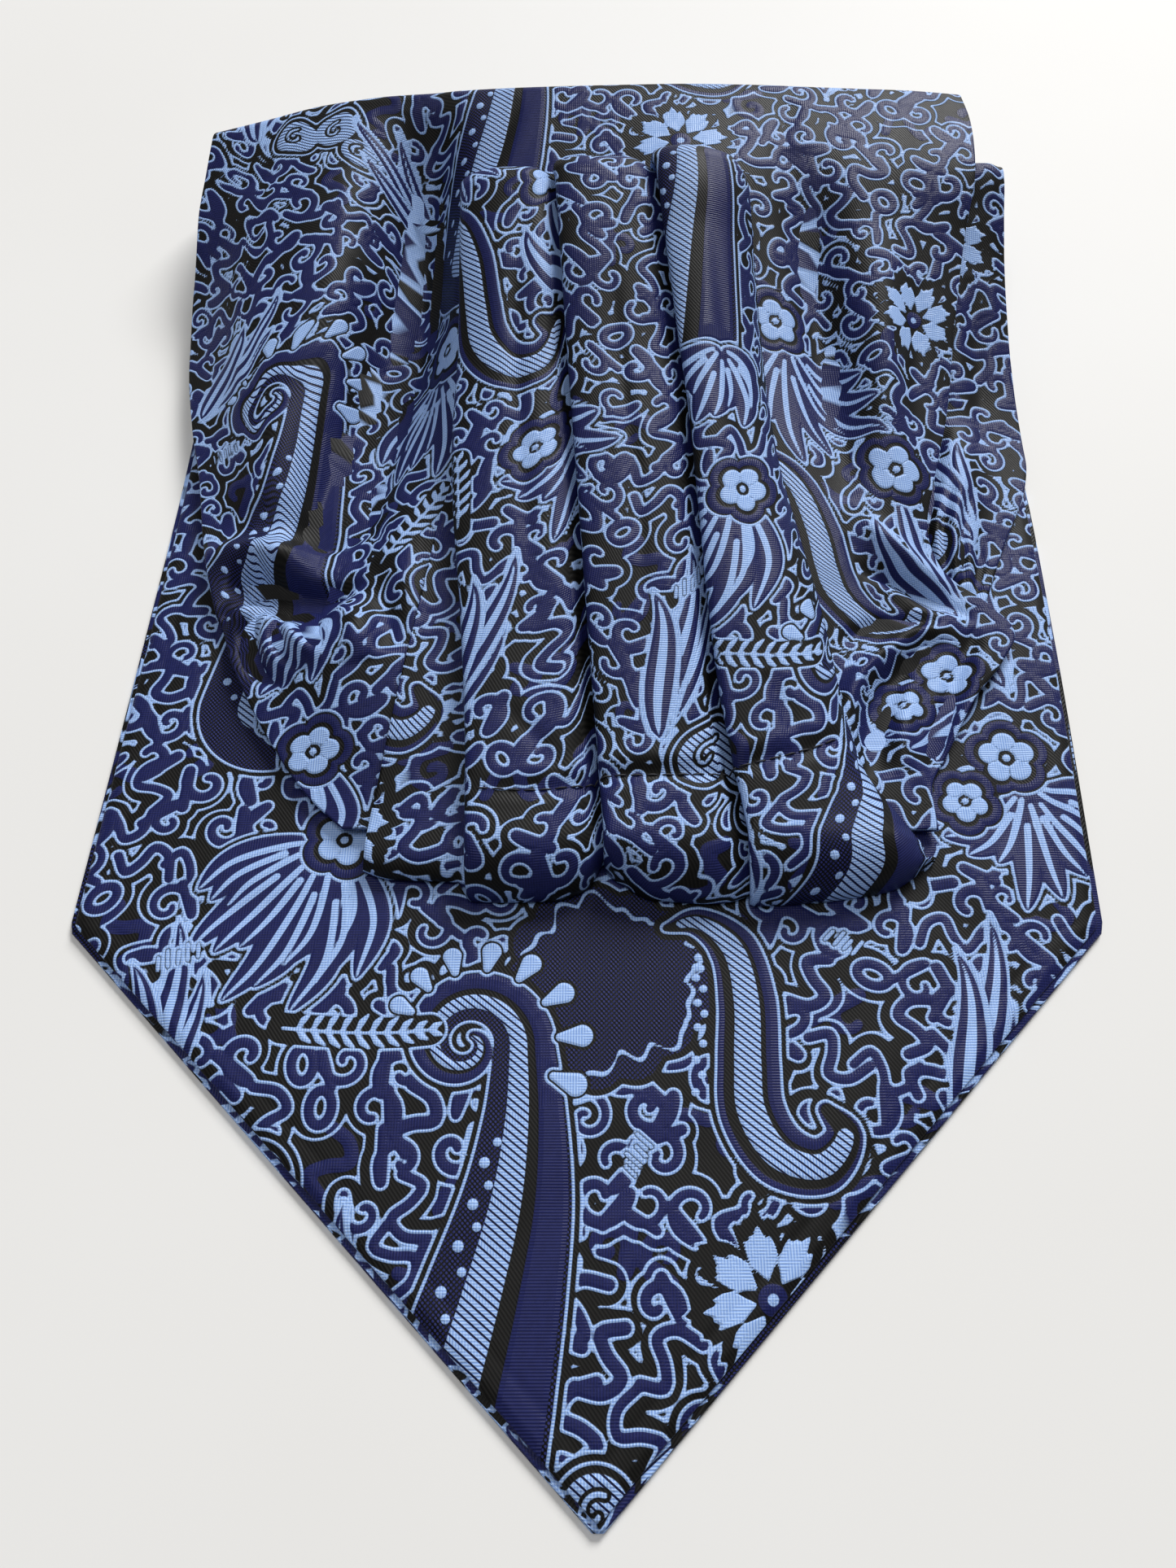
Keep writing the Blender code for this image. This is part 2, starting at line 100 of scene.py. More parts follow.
# %% A socket that can be added, multiplied and compared
class Value:
    def __init__(self, tree, socket):
        self.tree = tree
        self.socket = socket

    def node(self, kind, settings=None, output=0, **links):
        """Any node: its settings first, then the values or links of its sockets."""
        made = self.tree.nodes.new(kind)
        for key, setting in (settings or {}).items():
            setattr(made, key, setting)
        for key, value in links.items():
            slot = int(key[1:]) if key[0] == "n" and key[1:].isdigit() else key.replace("_", " ")
            if isinstance(value, Value):
                self.tree.links.new(value.socket, made.inputs[slot])
            else:
                made.inputs[slot].default_value = value
        return Value(self.tree, made.outputs[output])

    def math(self, operation, *others, clamp=False):
        settings = {"operation": operation, "use_clamp": clamp}
        links = {f"n{k}": value for k, value in enumerate((self, *others))}
        return self.node("ShaderNodeMath", settings, **links)

    def __add__(self, other):
        return self.math("ADD", other)

    def __sub__(self, other):
        return self.math("SUBTRACT", other)

    def __mul__(self, other):
        return self.math("MULTIPLY", other)

    def __truediv__(self, other):
        return self.math("DIVIDE", other)

    def __rsub__(self, other):
        return (self * -1.0) + other

    def __rtruediv__(self, other):
        return self.math("POWER", -1.0) * other

    __radd__ = __add__
    __rmul__ = __mul__

    def sine(self, pitch, phase=0.0):
        """A wave of the given pitch, from 0 to 1."""
        return (self * (2 * math.pi / pitch) + phase).math("SINE") * 0.5 + 0.5

    def inside(self, edge, soft):
        """1 where this distance is under edge, 0 outside, with a soft step."""
        return ((edge - self) * (1 / soft) + 0.5).math("MULTIPLY", 1.0, clamp=True)

    def over(self, below, above):
        """Mixes two colours, with this value as the share of the one above."""
        settings = {"data_type": "RGBA", "blend_type": "MIX", "clamp_factor": True}
        return self.node("ShaderNodeMix", settings, output=2, n0=self, n6=below, n7=above)


def attribute(tree, name, kind="Fac"):
    """A value that the mesh carries at each point."""
    return Value(tree, None).node("ShaderNodeAttribute", {"attribute_name": name}, output=kind)


def colour(red, green, blue):
    """An eight-bit screen colour as the linear colour that a shader takes."""
    parts = []
    for part in (red, green, blue):
        share = part / 255
        parts.append(share / 12.92 if share <= 0.04045 else ((share + 0.055) / 1.055) ** 2.4)
    return (*parts, 1.0)


def blank_material(name):
    material = bpy.data.materials.new(name)
    material.use_nodes = True
    tree = material.node_tree
    return material, tree, tree.nodes["Principled BSDF"]


print("shader helpers ready")


# %% Floor and light
FLOOR_SIZE = 3.0

floor_mesh = bpy.data.meshes.new("floor")
reach = FLOOR_SIZE / 2
floor_mesh.from_pydata([(-reach, -reach, 0), (reach, -reach, 0), (reach, reach, 0), (-reach, reach, 0)],
                       [], [(0, 1, 2, 3)])
floor = bpy.data.objects.new("floor", floor_mesh)
floor.location = (0, 0, -0.0001)
bpy.context.scene.collection.objects.link(floor)
board, tree, shader = blank_material("pale_board")
grain = Value(tree, None).node("ShaderNodeTexCoord", output="Object")
mottle = grain.node("ShaderNodeTexNoise", Vector=grain, Scale=9.0, Detail=3.0)
tone = mottle.over(colour(233, 231, 227), colour(239, 238, 235))
tree.links.new(tone.socket, shader.inputs["Base Color"])
shader.inputs["Roughness"].default_value = 0.6
shader.inputs["Specular IOR Level"].default_value = 0.2
floor_mesh.materials.append(board)

LIGHTS = (
    # name, place, size, power, aims at
    ("overhead", (-0.25, 0.05, 1.90), 0.9, 9.5, (0, 0, 0)),
    ("window", (1.50, 3.45, 2.65), 1.80, 228.0, (0, 0, 0)),
)


def add_light(name, place, size, power, target):
    lamp = bpy.data.lights.new(name, "AREA")
    lamp.shape = "SQUARE"
    lamp.size = size
    lamp.energy = power
    made = bpy.data.objects.new(name, lamp)
    made.location = place
    aim = np.array(target, float) - np.array(place, float)
    made.rotation_euler = (math.atan2(math.hypot(aim[0], aim[1]), -aim[2]), 0,
                           math.atan2(-aim[0], aim[1]))
    bpy.context.scene.collection.objects.link(made)
    return made


for row in LIGHTS:
    add_light(*row)
room = bpy.data.worlds.new("room")
room.use_nodes = True
room.node_tree.nodes["Background"].inputs["Color"].default_value = (0.93, 0.95, 1.0, 1.0)
room.node_tree.nodes["Background"].inputs["Strength"].default_value = 0.17
bpy.context.scene.world = room
bpy.context.scene.view_settings.view_transform = "Standard"
print("floor and", len(LIGHTS), "lights")


# %% [markdown]
# ## The jacquard
# A jacquard loom lifts single warp threads, so the figures are part of the weave: floats
# of navy and light blue silk over a charcoal twill. The figures here are the old ones of
# such cloth: paisley drops, flowers, leaves, ferns and winding scrolls.
# The chart below holds, for one repeat of the cloth, how far each place is from the edge
# of the light figures, the navy ones, the hatched ones and the speckled ones, and from
# the thin light outlines. A distance stays sharp when it is read between points, so a
# fairly coarse mesh still shows clean lines. All shapes come from short lists of points
# and from formulas.

# %% The chart: five distances, in millimetres, on one repeat of the cloth
REPEAT_X, REPEAT_Y = 168.0, 192.0
CELL = 0.3
FAR = 2.4
OUTSIDE = 30.0
COLS, ROWS = round(REPEAT_X / CELL), round(REPEAT_Y / CELL)
THIN = 0.30

chart = {name: np.full((ROWS, COLS), FAR) for name in ("light", "navy", "hatch", "speckle", "edge")}
print("chart of", ROWS, "x", COLS, "cells, a repeat of", REPEAT_X, "x", REPEAT_Y, "mm")


# %% Strokes: distance from a smooth line of changing width
def curve(points, step=0.7):
    """A smooth line through the points, cut into short pieces."""
    points = np.asarray(points, float)
    padded = np.vstack([2 * points[0] - points[1], points, 2 * points[-1] - points[-2]])
    line = []
    for a, b, c, d in zip(padded, padded[1:], padded[2:], padded[3:]):
        count = max(2, int(np.linalg.norm(c - b) / step))
        t = np.linspace(0, 1, count, endpoint=False)[:, None]
        line.append(0.5 * (2 * b + (c - a) * t + (2 * a - 5 * b + 4 * c - d) * t**2
                           + (3 * b - a - 3 * c + d) * t**3))
    return np.vstack(line + [points[-1:]])


def stroke(field, line, radius, reach=FAR):
    """Lowers field to the distance from the line, less its radius at each point."""
    line = np.asarray(line, float)
    radius = np.broadcast_to(np.asarray(radius, float), len(line))
    for (ax, ay), (bx, by), ra, rb in zip(line, line[1:], radius, radius[1:]):
        size = max(ra, rb) + reach
        i = np.arange(int((min(ax, bx) - size) / CELL) - 1, int((max(ax, bx) + size) / CELL) + 2)
        j = np.arange(int((min(ay, by) - size) / CELL) - 1, int((max(ay, by) + size) / CELL) + 2)
        x = i[None, :] * CELL - ax
        y = j[:, None] * CELL - ay
        dx, dy = bx - ax, by - ay
        square = max(dx * dx + dy * dy, 1e-9)
        t = np.clip((x * dx + y * dy) / square, 0, 1)
        d = np.hypot(x - t * dx, y - t * dy) - (ra + (rb - ra) * t)
        window = np.ix_(j % ROWS, i % COLS)
        field[window] = np.minimum(field[window], d)
    return field


def blank():
    return np.full((ROWS, COLS), OUTSIDE)


def place(points, at, turn=0.0, size=1.0, hand=1):
    """Points of a motif, mirrored, scaled, turned and moved to their place."""
    points = np.asarray(points, float) * (size * hand, size)
    a = math.radians(turn)
    x = points[:, 0] * math.cos(a) - points[:, 1] * math.sin(a)
    y = points[:, 0] * math.sin(a) + points[:, 1] * math.cos(a)
    return np.stack([x + at[0], y + at[1]], axis=1)


def clear(body, halo=0.8):
    """Takes away what is already drawn within halo of a motif's body."""
    for name in chart:
        chart[name] = np.maximum(chart[name], halo - body)


def cut(name, field):
    """Takes a field's inside out of one figure."""
    chart[name] = np.maximum(chart[name], -field)


def lay(name, field):
    chart[name] = np.minimum(chart[name], field)


def polar(at, turn=0.0):
    """Distance and angle from a point, over the whole repeat."""
    x = (np.arange(COLS) * CELL - at[0] + REPEAT_X / 2) % REPEAT_X - REPEAT_X / 2
    y = (np.arange(ROWS) * CELL - at[1] + REPEAT_Y / 2) % REPEAT_Y - REPEAT_Y / 2
    x, y = np.meshgrid(x, y)
    return np.hypot(x, y), np.arctan2(y, x) - math.radians(turn)


print("strokes ready")


# %% Winding scrolls fill the ground
SCROLL_SPACING = 7.5
SCROLL_PITCH = 3.0
SCROLL_GIRTH = (0.80, 1.15)
SCROLL_SIZE = (2.8, 3.8)
PLAIN_SHARE = 0.12


def spiral(at, reach, start, hand, inner, pitch):
    """A scroll that winds in from its outer end."""
    turns = (reach - inner) / pitch
    a = np.linspace(0, turns * 2 * math.pi, max(8, int(turns * 22)))
    r = reach - pitch * a / (2 * math.pi)
    return np.stack([at[0] + r * np.cos(start + hand * a), at[1] + r * np.sin(start + hand * a)], 1)


def scroll_places(rng):
    """A loose hexagonal grid of places with a size for each."""
    across = round(REPEAT_X / SCROLL_SPACING)
    down = 2 * round(REPEAT_Y / (SCROLL_SPACING * 0.866) / 2)
    places = []
    for j in range(down):
        for i in range(across):
            x = (i + 0.5 * (j % 2)) * REPEAT_X / across + rng.uniform(-1.6, 1.6)
            y = j * REPEAT_Y / down + rng.uniform(-1.5, 1.5)
            places.append((x, y, rng.uniform(*SCROLL_SIZE)))
    return places


def scrolls(seed):
    """Scrolls, each joined to a neighbour by a winding stem: outlined ones and plain ones."""
    rng = np.random.default_rng(seed)
    places = scroll_places(rng)
    outlined, plain = blank(), blank()
    for x, y, size in places:
        gaps = [math.hypot(x - other[0], y - other[1]) for other in places]
        mate = places[np.argsort(gaps)[rng.integers(1, 5)]]
        gap = math.hypot(mate[0] - x, mate[1] - y)
        toward = math.atan2(mate[1] - y, mate[0] - x)
        hand = rng.choice((-1, 1))
        kind = rng.random()
        girth = rng.uniform(*SCROLL_GIRTH)
        band = plain if rng.random() < PLAIN_SHARE else outlined
        if kind < 0.70:
            start = toward - hand * rng.uniform(0.9, 1.5)
            line = spiral((x, y), size, start, hand, rng.uniform(0.3, 1.3), SCROLL_PITCH)
            stroke(band, line, np.linspace(girth, girth * 0.72, len(line)))
            leave = np.array((math.sin(start), -math.cos(start))) * hand
            touch = np.array(mate[:2]) - 3.0 * np.array((math.cos(toward), math.sin(toward)))
            if gap < 1.7 * SCROLL_SPACING:
                stroke(band, curve([line[0], line[0] + leave * 2.0, touch]), girth)
        elif kind < 0.74:
            a = np.linspace(0, 2 * math.pi, 20)
            ring = np.stack([1.6 * np.cos(a), 2.4 * np.sin(a)], 1)
            stroke(band, place(ring, (x, y), math.degrees(toward)), 0.9)
        else:
            bend = [(-4.4, -2.3), (-3.3, 1.2), (-0.7, 2.4), (0.7, -0.4), (2.6, -2.3), (4.6, 0.2)]
            line = curve(place(bend, (x, y), math.degrees(toward), hand=hand))
            stroke(band, line, girth)
    return outlined, plain


def tendrils(seed, count):
    """Short thin lines with a hook, in the gaps."""
    rng = np.random.default_rng(seed)
    kept = 0
    for _ in range(count):
        at = rng.uniform(0, 1, 2) * (REPEAT_X, REPEAT_Y)
        bend = [(-2.6, -0.8), (-1.2, 1.0), (0.2, -0.6), (1.8, 0.8), (2.4, -0.8)]
        size = rng.uniform(0.8, 1.4)
        line = curve(place(bend, at, rng.uniform(0, 360), size, rng.choice((-1, 1))))
        own = stroke(blank(), line, THIN)
        taken = np.minimum(chart["light"], chart["navy"])[own < 0]
        if len(taken) and taken.min() > -0.5:
            lay("light", own)
            kept += 1
    return kept


def echo(field):
    """The field, folded back so that a second line wanders beside its edge."""
    x = np.arange(COLS)[None, :] / COLS * 2 * math.pi
    y = np.arange(ROWS)[:, None] / ROWS * 2 * math.pi
    wander = 1.60 + 0.34 * np.sin(9 * x + 4 * y) + 0.30 * np.sin(11 * y - 7 * x + 2)
    near = np.minimum(field, FAR)
    return np.minimum(near, wander - near)


outlined, plain = scrolls(11)
lay("navy", np.minimum(outlined, plain))
lay("edge", echo(outlined))
print("scrolls laid, with", tendrils(5, 120), "tendrils in the gaps")


# %% Leaves, ferns, flowers and fans
def leaf(at, turn, length, width, bend=0.2, hand=1, core=0.36):
    """A long leaf: a navy blade with a light edge and a light rib."""
    t = np.linspace(0, 1, 12)
    spine = np.stack([bend * length * np.sin(t * 2.4) * t, length * t], 1)
    swell = np.sin(np.pi * t**0.8) ** 0.8
    line = curve(place(spine, at, turn, hand=hand))
    radius = np.interp(np.linspace(0, 1, len(line)), t, width * swell + 0.15)
    body = stroke(blank(), line, radius)
    clear(body, 0.5)
    lay("navy", body)
    lay("edge", body)
    lay("light", stroke(blank(), line, radius * core - 0.1))


def spray(at, turn, lengths, width=2.3, spread=17, hand=1):
    """Long leaves that rise from one place."""
    for k, length in enumerate(lengths):
        lean = turn + (k - (len(lengths) - 1) / 2) * spread
        bend = 0.16 + 0.05 * (k % 3)
        leaf(at, lean, length, width * (0.8 + 0.1 * (k % 3)), bend, hand)


def fern(at, turn, length, hand=1):
    """A thin stem with short leaflets in pairs."""
    count = int(length / 2.1)
    stem = [(math.sin(k / count * 1.6) * length * 0.12, length * k / count) for k in range(count + 1)]
    clear(stroke(blank(), place(stem, at, turn, hand=hand), 2.2), 0.3)
    lay("light", stroke(blank(), place(stem, at, turn, hand=hand), 0.26))
    for k, (x, y) in enumerate(stem[1:], 1):
        reach = 2.6 * math.sin(math.pi * (0.25 + 0.7 * k / len(stem)))
        for side in (-1, 1):
            leaflet = [(x, y), (x + side * reach * 0.6, y + 0.9), (x + side * reach, y + 1.9)]
            own = stroke(blank(), place(leaflet, at, turn, hand=hand), (0.2, 0.5, 0.2))
            lay("light", own)


def star_flower(at, radius, petals=8, turn=0.0):
    """Long ragged petals round a dark star with a navy eye."""
    r, a = polar(at, turn)
    lobe = np.abs(np.cos(petals * a / 2))
    ragged = 0.5 * np.cos(petals * 3.0 * a + 0.6) + 0.45 * np.cos(petals * 5.0 * a + 1.9)
    edge = radius * (0.56 + 0.44 * lobe**0.7) + ragged
    star = radius * (0.62 - 0.36 * lobe**0.7)
    body = (r - edge) * 0.8
    clear(body, 2.0)
    lay("light", np.maximum(body, (star - r) * 0.8))
    lay("navy", r - radius * 0.23)
    cut("light", r - radius * 0.25)
    lay("light", r - radius * 0.09)


def round_flower(at, radius, petals=5, turn=0.0):
    """Full round petals, a dark eye and a navy ring outside."""
    r, a = polar(at, turn)
    lobe = np.abs(np.cos(petals * a / 2))
    body = (r - radius * (0.66 + 0.34 * lobe**0.6)) * 0.85
    clear(body, 2.4)
    lay("navy", np.maximum(body - 1.9, 0.7 - body))
    lay("light", np.maximum(body, radius * 0.30 - r))
    lay("light", r - radius * 0.15)
    slit = np.maximum(np.maximum(lobe * r - 0.22, r - radius * 0.62), radius * 0.30 - r)
    cut("light", slit)


def fan(at, turn, count, length, spread, hand=1, rise=0.75):
    """Tapering strokes that spring from one place and bend over, on a navy ground."""
    ground, light = blank(), blank()
    for k in range(count):
        share = k / (count - 1)
        lean = turn + (share - 0.5) * spread
        reach = length * (0.70 + 0.30 * math.sin(math.pi * share)) * (1 - 0.13 * (k % 3))
        droop = rise * (share - 0.35) * reach
        spine = [(0, reach * 0.08), (droop * 0.05, reach * 0.36), (droop * 0.38, reach * 0.72),
                 (droop * 1.1, reach * 0.96)]
        line = curve(place(spine, at, lean, hand=hand))
        t = np.linspace(0, 1, len(line))
        stroke(ground, line, 0.6 + 2.2 * np.sin(np.pi * t**1.1) ** 0.8)
        start = int(len(line) * (0.12 + 0.20 * (k % 2)))
        girth = 0.14 + 0.40 * np.sin(np.pi * np.clip(t * 0.86 + 0.12, 0, 1)) ** 0.8
        stroke(light, line[start:], girth[start:])
    clear(ground, 0.8)
    lay("navy", ground)
    lay("light", light)
    lay("edge", ground + 0.1)


def beads(points, sizes):
    """Round spots, light on whatever lies there."""
    for (x, y), size in zip(points, np.broadcast_to(sizes, len(points))):
        r, _ = polar((x, y))
        lay("light", r - size)


def scalloped(at, radius, lobes=13, turn=0.0):
    """A speckled patch with a wavy edge, and a light line that wanders round it."""
    r, a = polar(at, turn)
    edge = radius * (1 + 0.05 * np.sin(3 * a + 1)) + 1.3 * np.abs(np.sin(lobes * a / 2)) - 0.4
    body = (r - edge) * 0.9
    clear(body, 1.0)
    lay("speckle", body)
    wander = body + 2.0 + 1.1 * np.sin(5 * a + 2.0) + 0.5 * np.sin(17 * a)
    lay("light", np.maximum(np.abs(wander) * 0.85 - THIN * 0.9, body + 0.3))


def cloud(at, turn, size=1.0, hand=1):
    """A hatched cloud of three rounds, each with a small curl."""
    body = blank()
    rounds = ((-4.6, 0.0, 5.4), (3.6, 1.6, 5.6), (9.0, -4.6, 4.4))
    for x, y, radius in rounds:
        (px, py), = place([(x, y)], at, turn, size, hand)
        body = np.minimum(body, polar((px, py))[0] - radius * size)
    clear(body, 1.2)
    lay("hatch", body + 1.1)
    lay("edge", body)
    for x, y, radius in rounds:
        (px, py), = place([(x, y)], at, turn, size, hand)
        curl = spiral((px, py), radius * 0.42 * size, 1.0, 1, 0.5, 2.4)
        cut("hatch", stroke(blank(), curl, 0.8))
        lay("light", stroke(blank(), curl, THIN))


def ticks(at, turn, count, length=2.6, gap=1.5, lean=0.5):
    """A row of short slanted lines."""
    for k in range(count):
        x = (k - count / 2) * gap
        line = place([(x, 0), (x + lean, length * (0.75 + 0.25 * (k % 2)))], at, turn)
        own = stroke(blank(), line, THIN)
        clear(own, 0.3)
        lay("light", own)


print("leaves, flowers and fans ready")


# %% Paisleys
PAISLEY_SPINE = ((-5.5, -16), (-2.5, -6), (1.2, 6), (4.4, 18), (5.8, 29), (6.0, 38))
PAISLEY_GIRTH = (12.0, 11.0, 9.4, 7.6, 5.9, 4.7)
HEAD = (-2.3, 40.0)
HEAD_REACH = 8.3
HEAD_PITCH = 6.2
HEAD_TURNS = 1.12
COMMA_SPINE = ((-7, 18), (-2, 18.5), (2.6, 14), (3.6, 6), (2.6, -3), (2.2, -10), (5.0, -16),
               (10.4, -18), (14.4, -14.4), (12.4, -10.6))
COMMA_GIRTH = (0.8, 2.4, 3.8, 4.4, 4.6, 4.8, 4.6, 3.8, 2.7, 1.3)


def spine_of(points, girths, at, turn, size, hand):
    """The smooth spine in its place, and its half width at each point."""
    placed = place(points, at, turn, size, hand)
    line = curve(placed)
    at_point = np.concatenate([[0], np.cumsum(np.linalg.norm(np.diff(placed, axis=0), axis=1))])
    at_line = np.concatenate([[0], np.cumsum(np.linalg.norm(np.diff(line, axis=0), axis=1))])
    share = at_line / at_line[-1] * at_point[-1]
    return line, np.interp(share, at_point, girths) * size


def beside(line, girth, offset, share, hand=1):
    """A stroke that runs beside the spine: both as shares of its half width."""
    way = np.gradient(line, axis=0)
    way = way / np.linalg.norm(way, axis=1)[:, None]
    left = np.stack([-way[:, 1], way[:, 0]], 1) * hand
    girth = np.asarray(girth)
    return stroke(blank(), line + left * (girth * offset)[:, None], np.maximum(girth * share, 0.05))


def paisley(at, turn, size=1.0, hand=1, petals=8):
    """A curled drop: speckled on one side, hatched in the middle, navy on the other."""
    a = np.linspace(0.05, HEAD_TURNS * 2 * math.pi, 34)
    r = HEAD_REACH - HEAD_PITCH * a / (2 * math.pi)
    head = np.stack([HEAD[0] + r * np.cos(a), HEAD[1] + r * np.sin(a)], 1)
    points = np.vstack([PAISLEY_SPINE, head])
    girths = np.concatenate([PAISLEY_GIRTH, np.linspace(4.5, 0.9, len(head))])
    line, girth = spine_of(points, girths, at, turn, size, hand)
    body = stroke(blank(), line, girth)
    clear(body, 1.1)
    lay("speckle", body)
    lay("edge", body)
    navy = beside(line, girth, -0.62, 0.30, hand)
    gap = beside(line, girth, -0.24, 0.16, hand)
    hatch = beside(line, girth, 0.10, 0.36, hand)
    lay("navy", navy)
    cut("speckle", navy)
    lay("hatch", np.maximum(hatch, -gap))
    cut("speckle", np.minimum(gap, hatch))
    low = int(len(line) * 0.42)
    row = line[:low] + 0.0
    way = np.gradient(row, axis=0)
    way = way / np.linalg.norm(way, axis=1)[:, None]
    left = np.stack([-way[:, 1], way[:, 0]], 1) * hand
    step = max(3, int(3.4 / 0.7))
    for k, spot in enumerate(range(2, low, step)):
        offset = (0.56, 0.74)[k % 2] * girth[spot]
        beads([row[spot] + left[spot] * offset], (0.62 + 0.14 * (k % 2)) * size)
    for k in range(petals):
        share = k / (petals - 1)
        b = math.radians(148 - 172 * share)
        edge = HEAD_REACH - HEAD_PITCH * max(b, 0) / (2 * math.pi) + np.interp(b, (0, 2.6), (4.2, 2.8)) + 0.5
        long = 2.5 + 1.2 * share
        spots = [(HEAD[0] + d * math.cos(b), HEAD[1] + d * math.sin(b)) for d in (edge + 0.4, edge + long)]
        own = stroke(blank(), place(spots, at, turn, size, hand), np.array((0.6, 1.3 + 0.4 * share)) * size)
        clear(own, 0.5)
        lay("light", own)


def comma(at, turn, size=1.0, hand=1):
    """A slim curled drop: a hatched crescent, a navy band and a row of spots."""
    line, girth = spine_of(COMMA_SPINE, COMMA_GIRTH, at, turn, size, hand)
    body = stroke(blank(), line, girth)
    clear(body, 1.1)
    lay("navy", body)
    cut("navy", beside(line, girth, -0.10, 0.66, hand))
    last = -6
    lay("hatch", beside(line[3:last], girth[3:last], -0.02, 0.42, hand))
    lay("edge", body)
    way = np.gradient(line, axis=0)
    way = way / np.linalg.norm(way, axis=1)[:, None]
    right = np.stack([way[:, 1], -way[:, 0]], 1) * hand
    for k, spot in enumerate(range(12, int(len(line) * 0.6), 3)):
        beads([line[spot] + right[spot] * (girth[spot] + 1.9 + 0.9 * (k % 2))], 0.62 * size)


print("paisleys ready")


# %% The layout of one repeat, from what lies deepest to what lies on top
scalloped((3, 57), 14.5)
paisley((-13, 8), 3, 1.0)
comma((20, 48), 4, 1.0)
star_flower((24, 14), 8.6, 8, 12)
fan((-40, 80), 160, 13, 30, 128)
round_flower((-38, 80), 4.4)
spray((-62, 34), 8, (25, 33, 26), 2.3, 14)
cloud((-50, 29), -28, 1.05)
spray((-31, 5), 14, (21, 26, 19), 1.9, 15, -1)
fern((-44, 50), -84, 21)
spray((53, 32), -4, (24, 36, 30), 2.4, 11)
fern((50, 72), 20, 14)
fan((70, 90), 196, 11, 24, 112, hand=-1)
round_flower((68, 95), 4.6, 5, 20)
round_flower((60, 87), 3.7, 5, 50)
ticks((-60, 60), 20, 5)
ticks((38, 62), -30, 4)
ticks((8, 32), 60, 4)

paisley((-50, 121), 10, 1.0)
fan((-44, 108), 182, 9, 17, 136)
fan((-24, 160), 190, 12, 27, 124)
round_flower((-22, 163), 4.5)
comma((-6, 122), -8, 0.95, -1)
spray((14, 100), 4, (26, 34, 28), 2.3, 13)
star_flower((22, 144), 6.6, 8, 5)
fan((44, 166), 168, 12, 27, 120, hand=-1)
round_flower((42, 169), 4.5, 5, 30)
comma((44, 120), 14, 1.05)
spray((70, 108), 6, (24, 33, 27), 2.3, 13, -1)
round_flower((62, 142), 5.0)
fern((-30, 116), -30, 17)
fern((6, 158), 60, 14)
star_flower((72, 176), 7.4, 8, 20)
cloud((-2, 180), 16, 0.95)
spray((-76, 158), -12, (22, 29, 24), 2.1, 13)
ticks((-66, 150), 40, 5)
ticks((30, 112), -10, 4)
print("motifs laid out on the repeat")


# %% Which way the light lines run
lines = np.minimum(chart["light"], np.abs(chart["edge"]))
slope_x = (np.roll(lines, -1, 1) - np.roll(lines, 1, 1)) ** 2
slope_y = (np.roll(lines, -1, 0) - np.roll(lines, 1, 0)) ** 2
chart["lie"] = slope_x / (slope_x + slope_y + 1e-6)
print("share of upright lines:", round(float(chart["lie"].mean()), 2))


# %% [markdown]
# ## The form of the folded cloth
# The heights of the panel, the pleats' fold edges and the blade's sides are the same
# values that shape the solid model. They are read through a smooth curve that never
# overshoots, so the cloth has no bumps between the rows.

# %% Smooth tables
def tangents(xs, ys):
    """Slopes of a monotone cubic through the rows of ys, so that it never overshoots."""
    steps = np.diff(xs)[:, None]
    rises = np.diff(ys, axis=0) / steps
    slopes = np.zeros_like(ys)
    slopes[0] = rises[0]
    slopes[-1] = rises[-1]
    same = rises[:-1] * rises[1:] > 0
    total = np.where(same, rises[:-1] + rises[1:], 1.0)
    slopes[1:-1] = np.where(same, 2 * rises[:-1] * rises[1:] / total, 0.0)
    return slopes


def through(xs, ys, at):
    """The smooth line through (xs, ys), read at each of at. ys may hold a column for each."""
    xs = np.asarray(xs, float)
    ys = np.asarray(ys, float)
    at = np.clip(np.atleast_1d(np.asarray(at, float)), xs[0], xs[-1])
    row = np.clip(np.searchsorted(xs, at, side="right") - 1, 0, len(xs) - 2)
    if ys.ndim == 1:
        slopes = tangents(xs, ys[:, None])[:, 0]
        low, high, out, into = ys[row], ys[row + 1], slopes[row], slopes[row + 1]
    else:
        slopes = tangents(xs, ys)
        col = np.arange(len(at))
        low, high, out, into = ys[row, col], ys[row + 1, col], slopes[row, col], slopes[row + 1, col]
    step = xs[row + 1] - xs[row]
    t = (at - xs[row]) / step
    value = low * (1 + 2 * t) * (1 - t) ** 2 + out * step * t * (1 - t) ** 2
    return value + high * t * t * (3 - 2 * t) + into * step * t * t * (t - 1)


def column(table, index):
    return [row[index] for row in table]


def smoothstep(low, high, x):
    t = np.clip((np.asarray(x, float) - low) / (high - low), 0.0, 1.0)
    return t * t * (3 - 2 * t)


print("a table reads", float(through((0, 1, 2), (0, 1, 0), 0.5)[0]))


# %% The return panel's heights
CREST_Y = 233.0
CREST_DEPTH = 6.5
PANEL_NEAR = 81.0

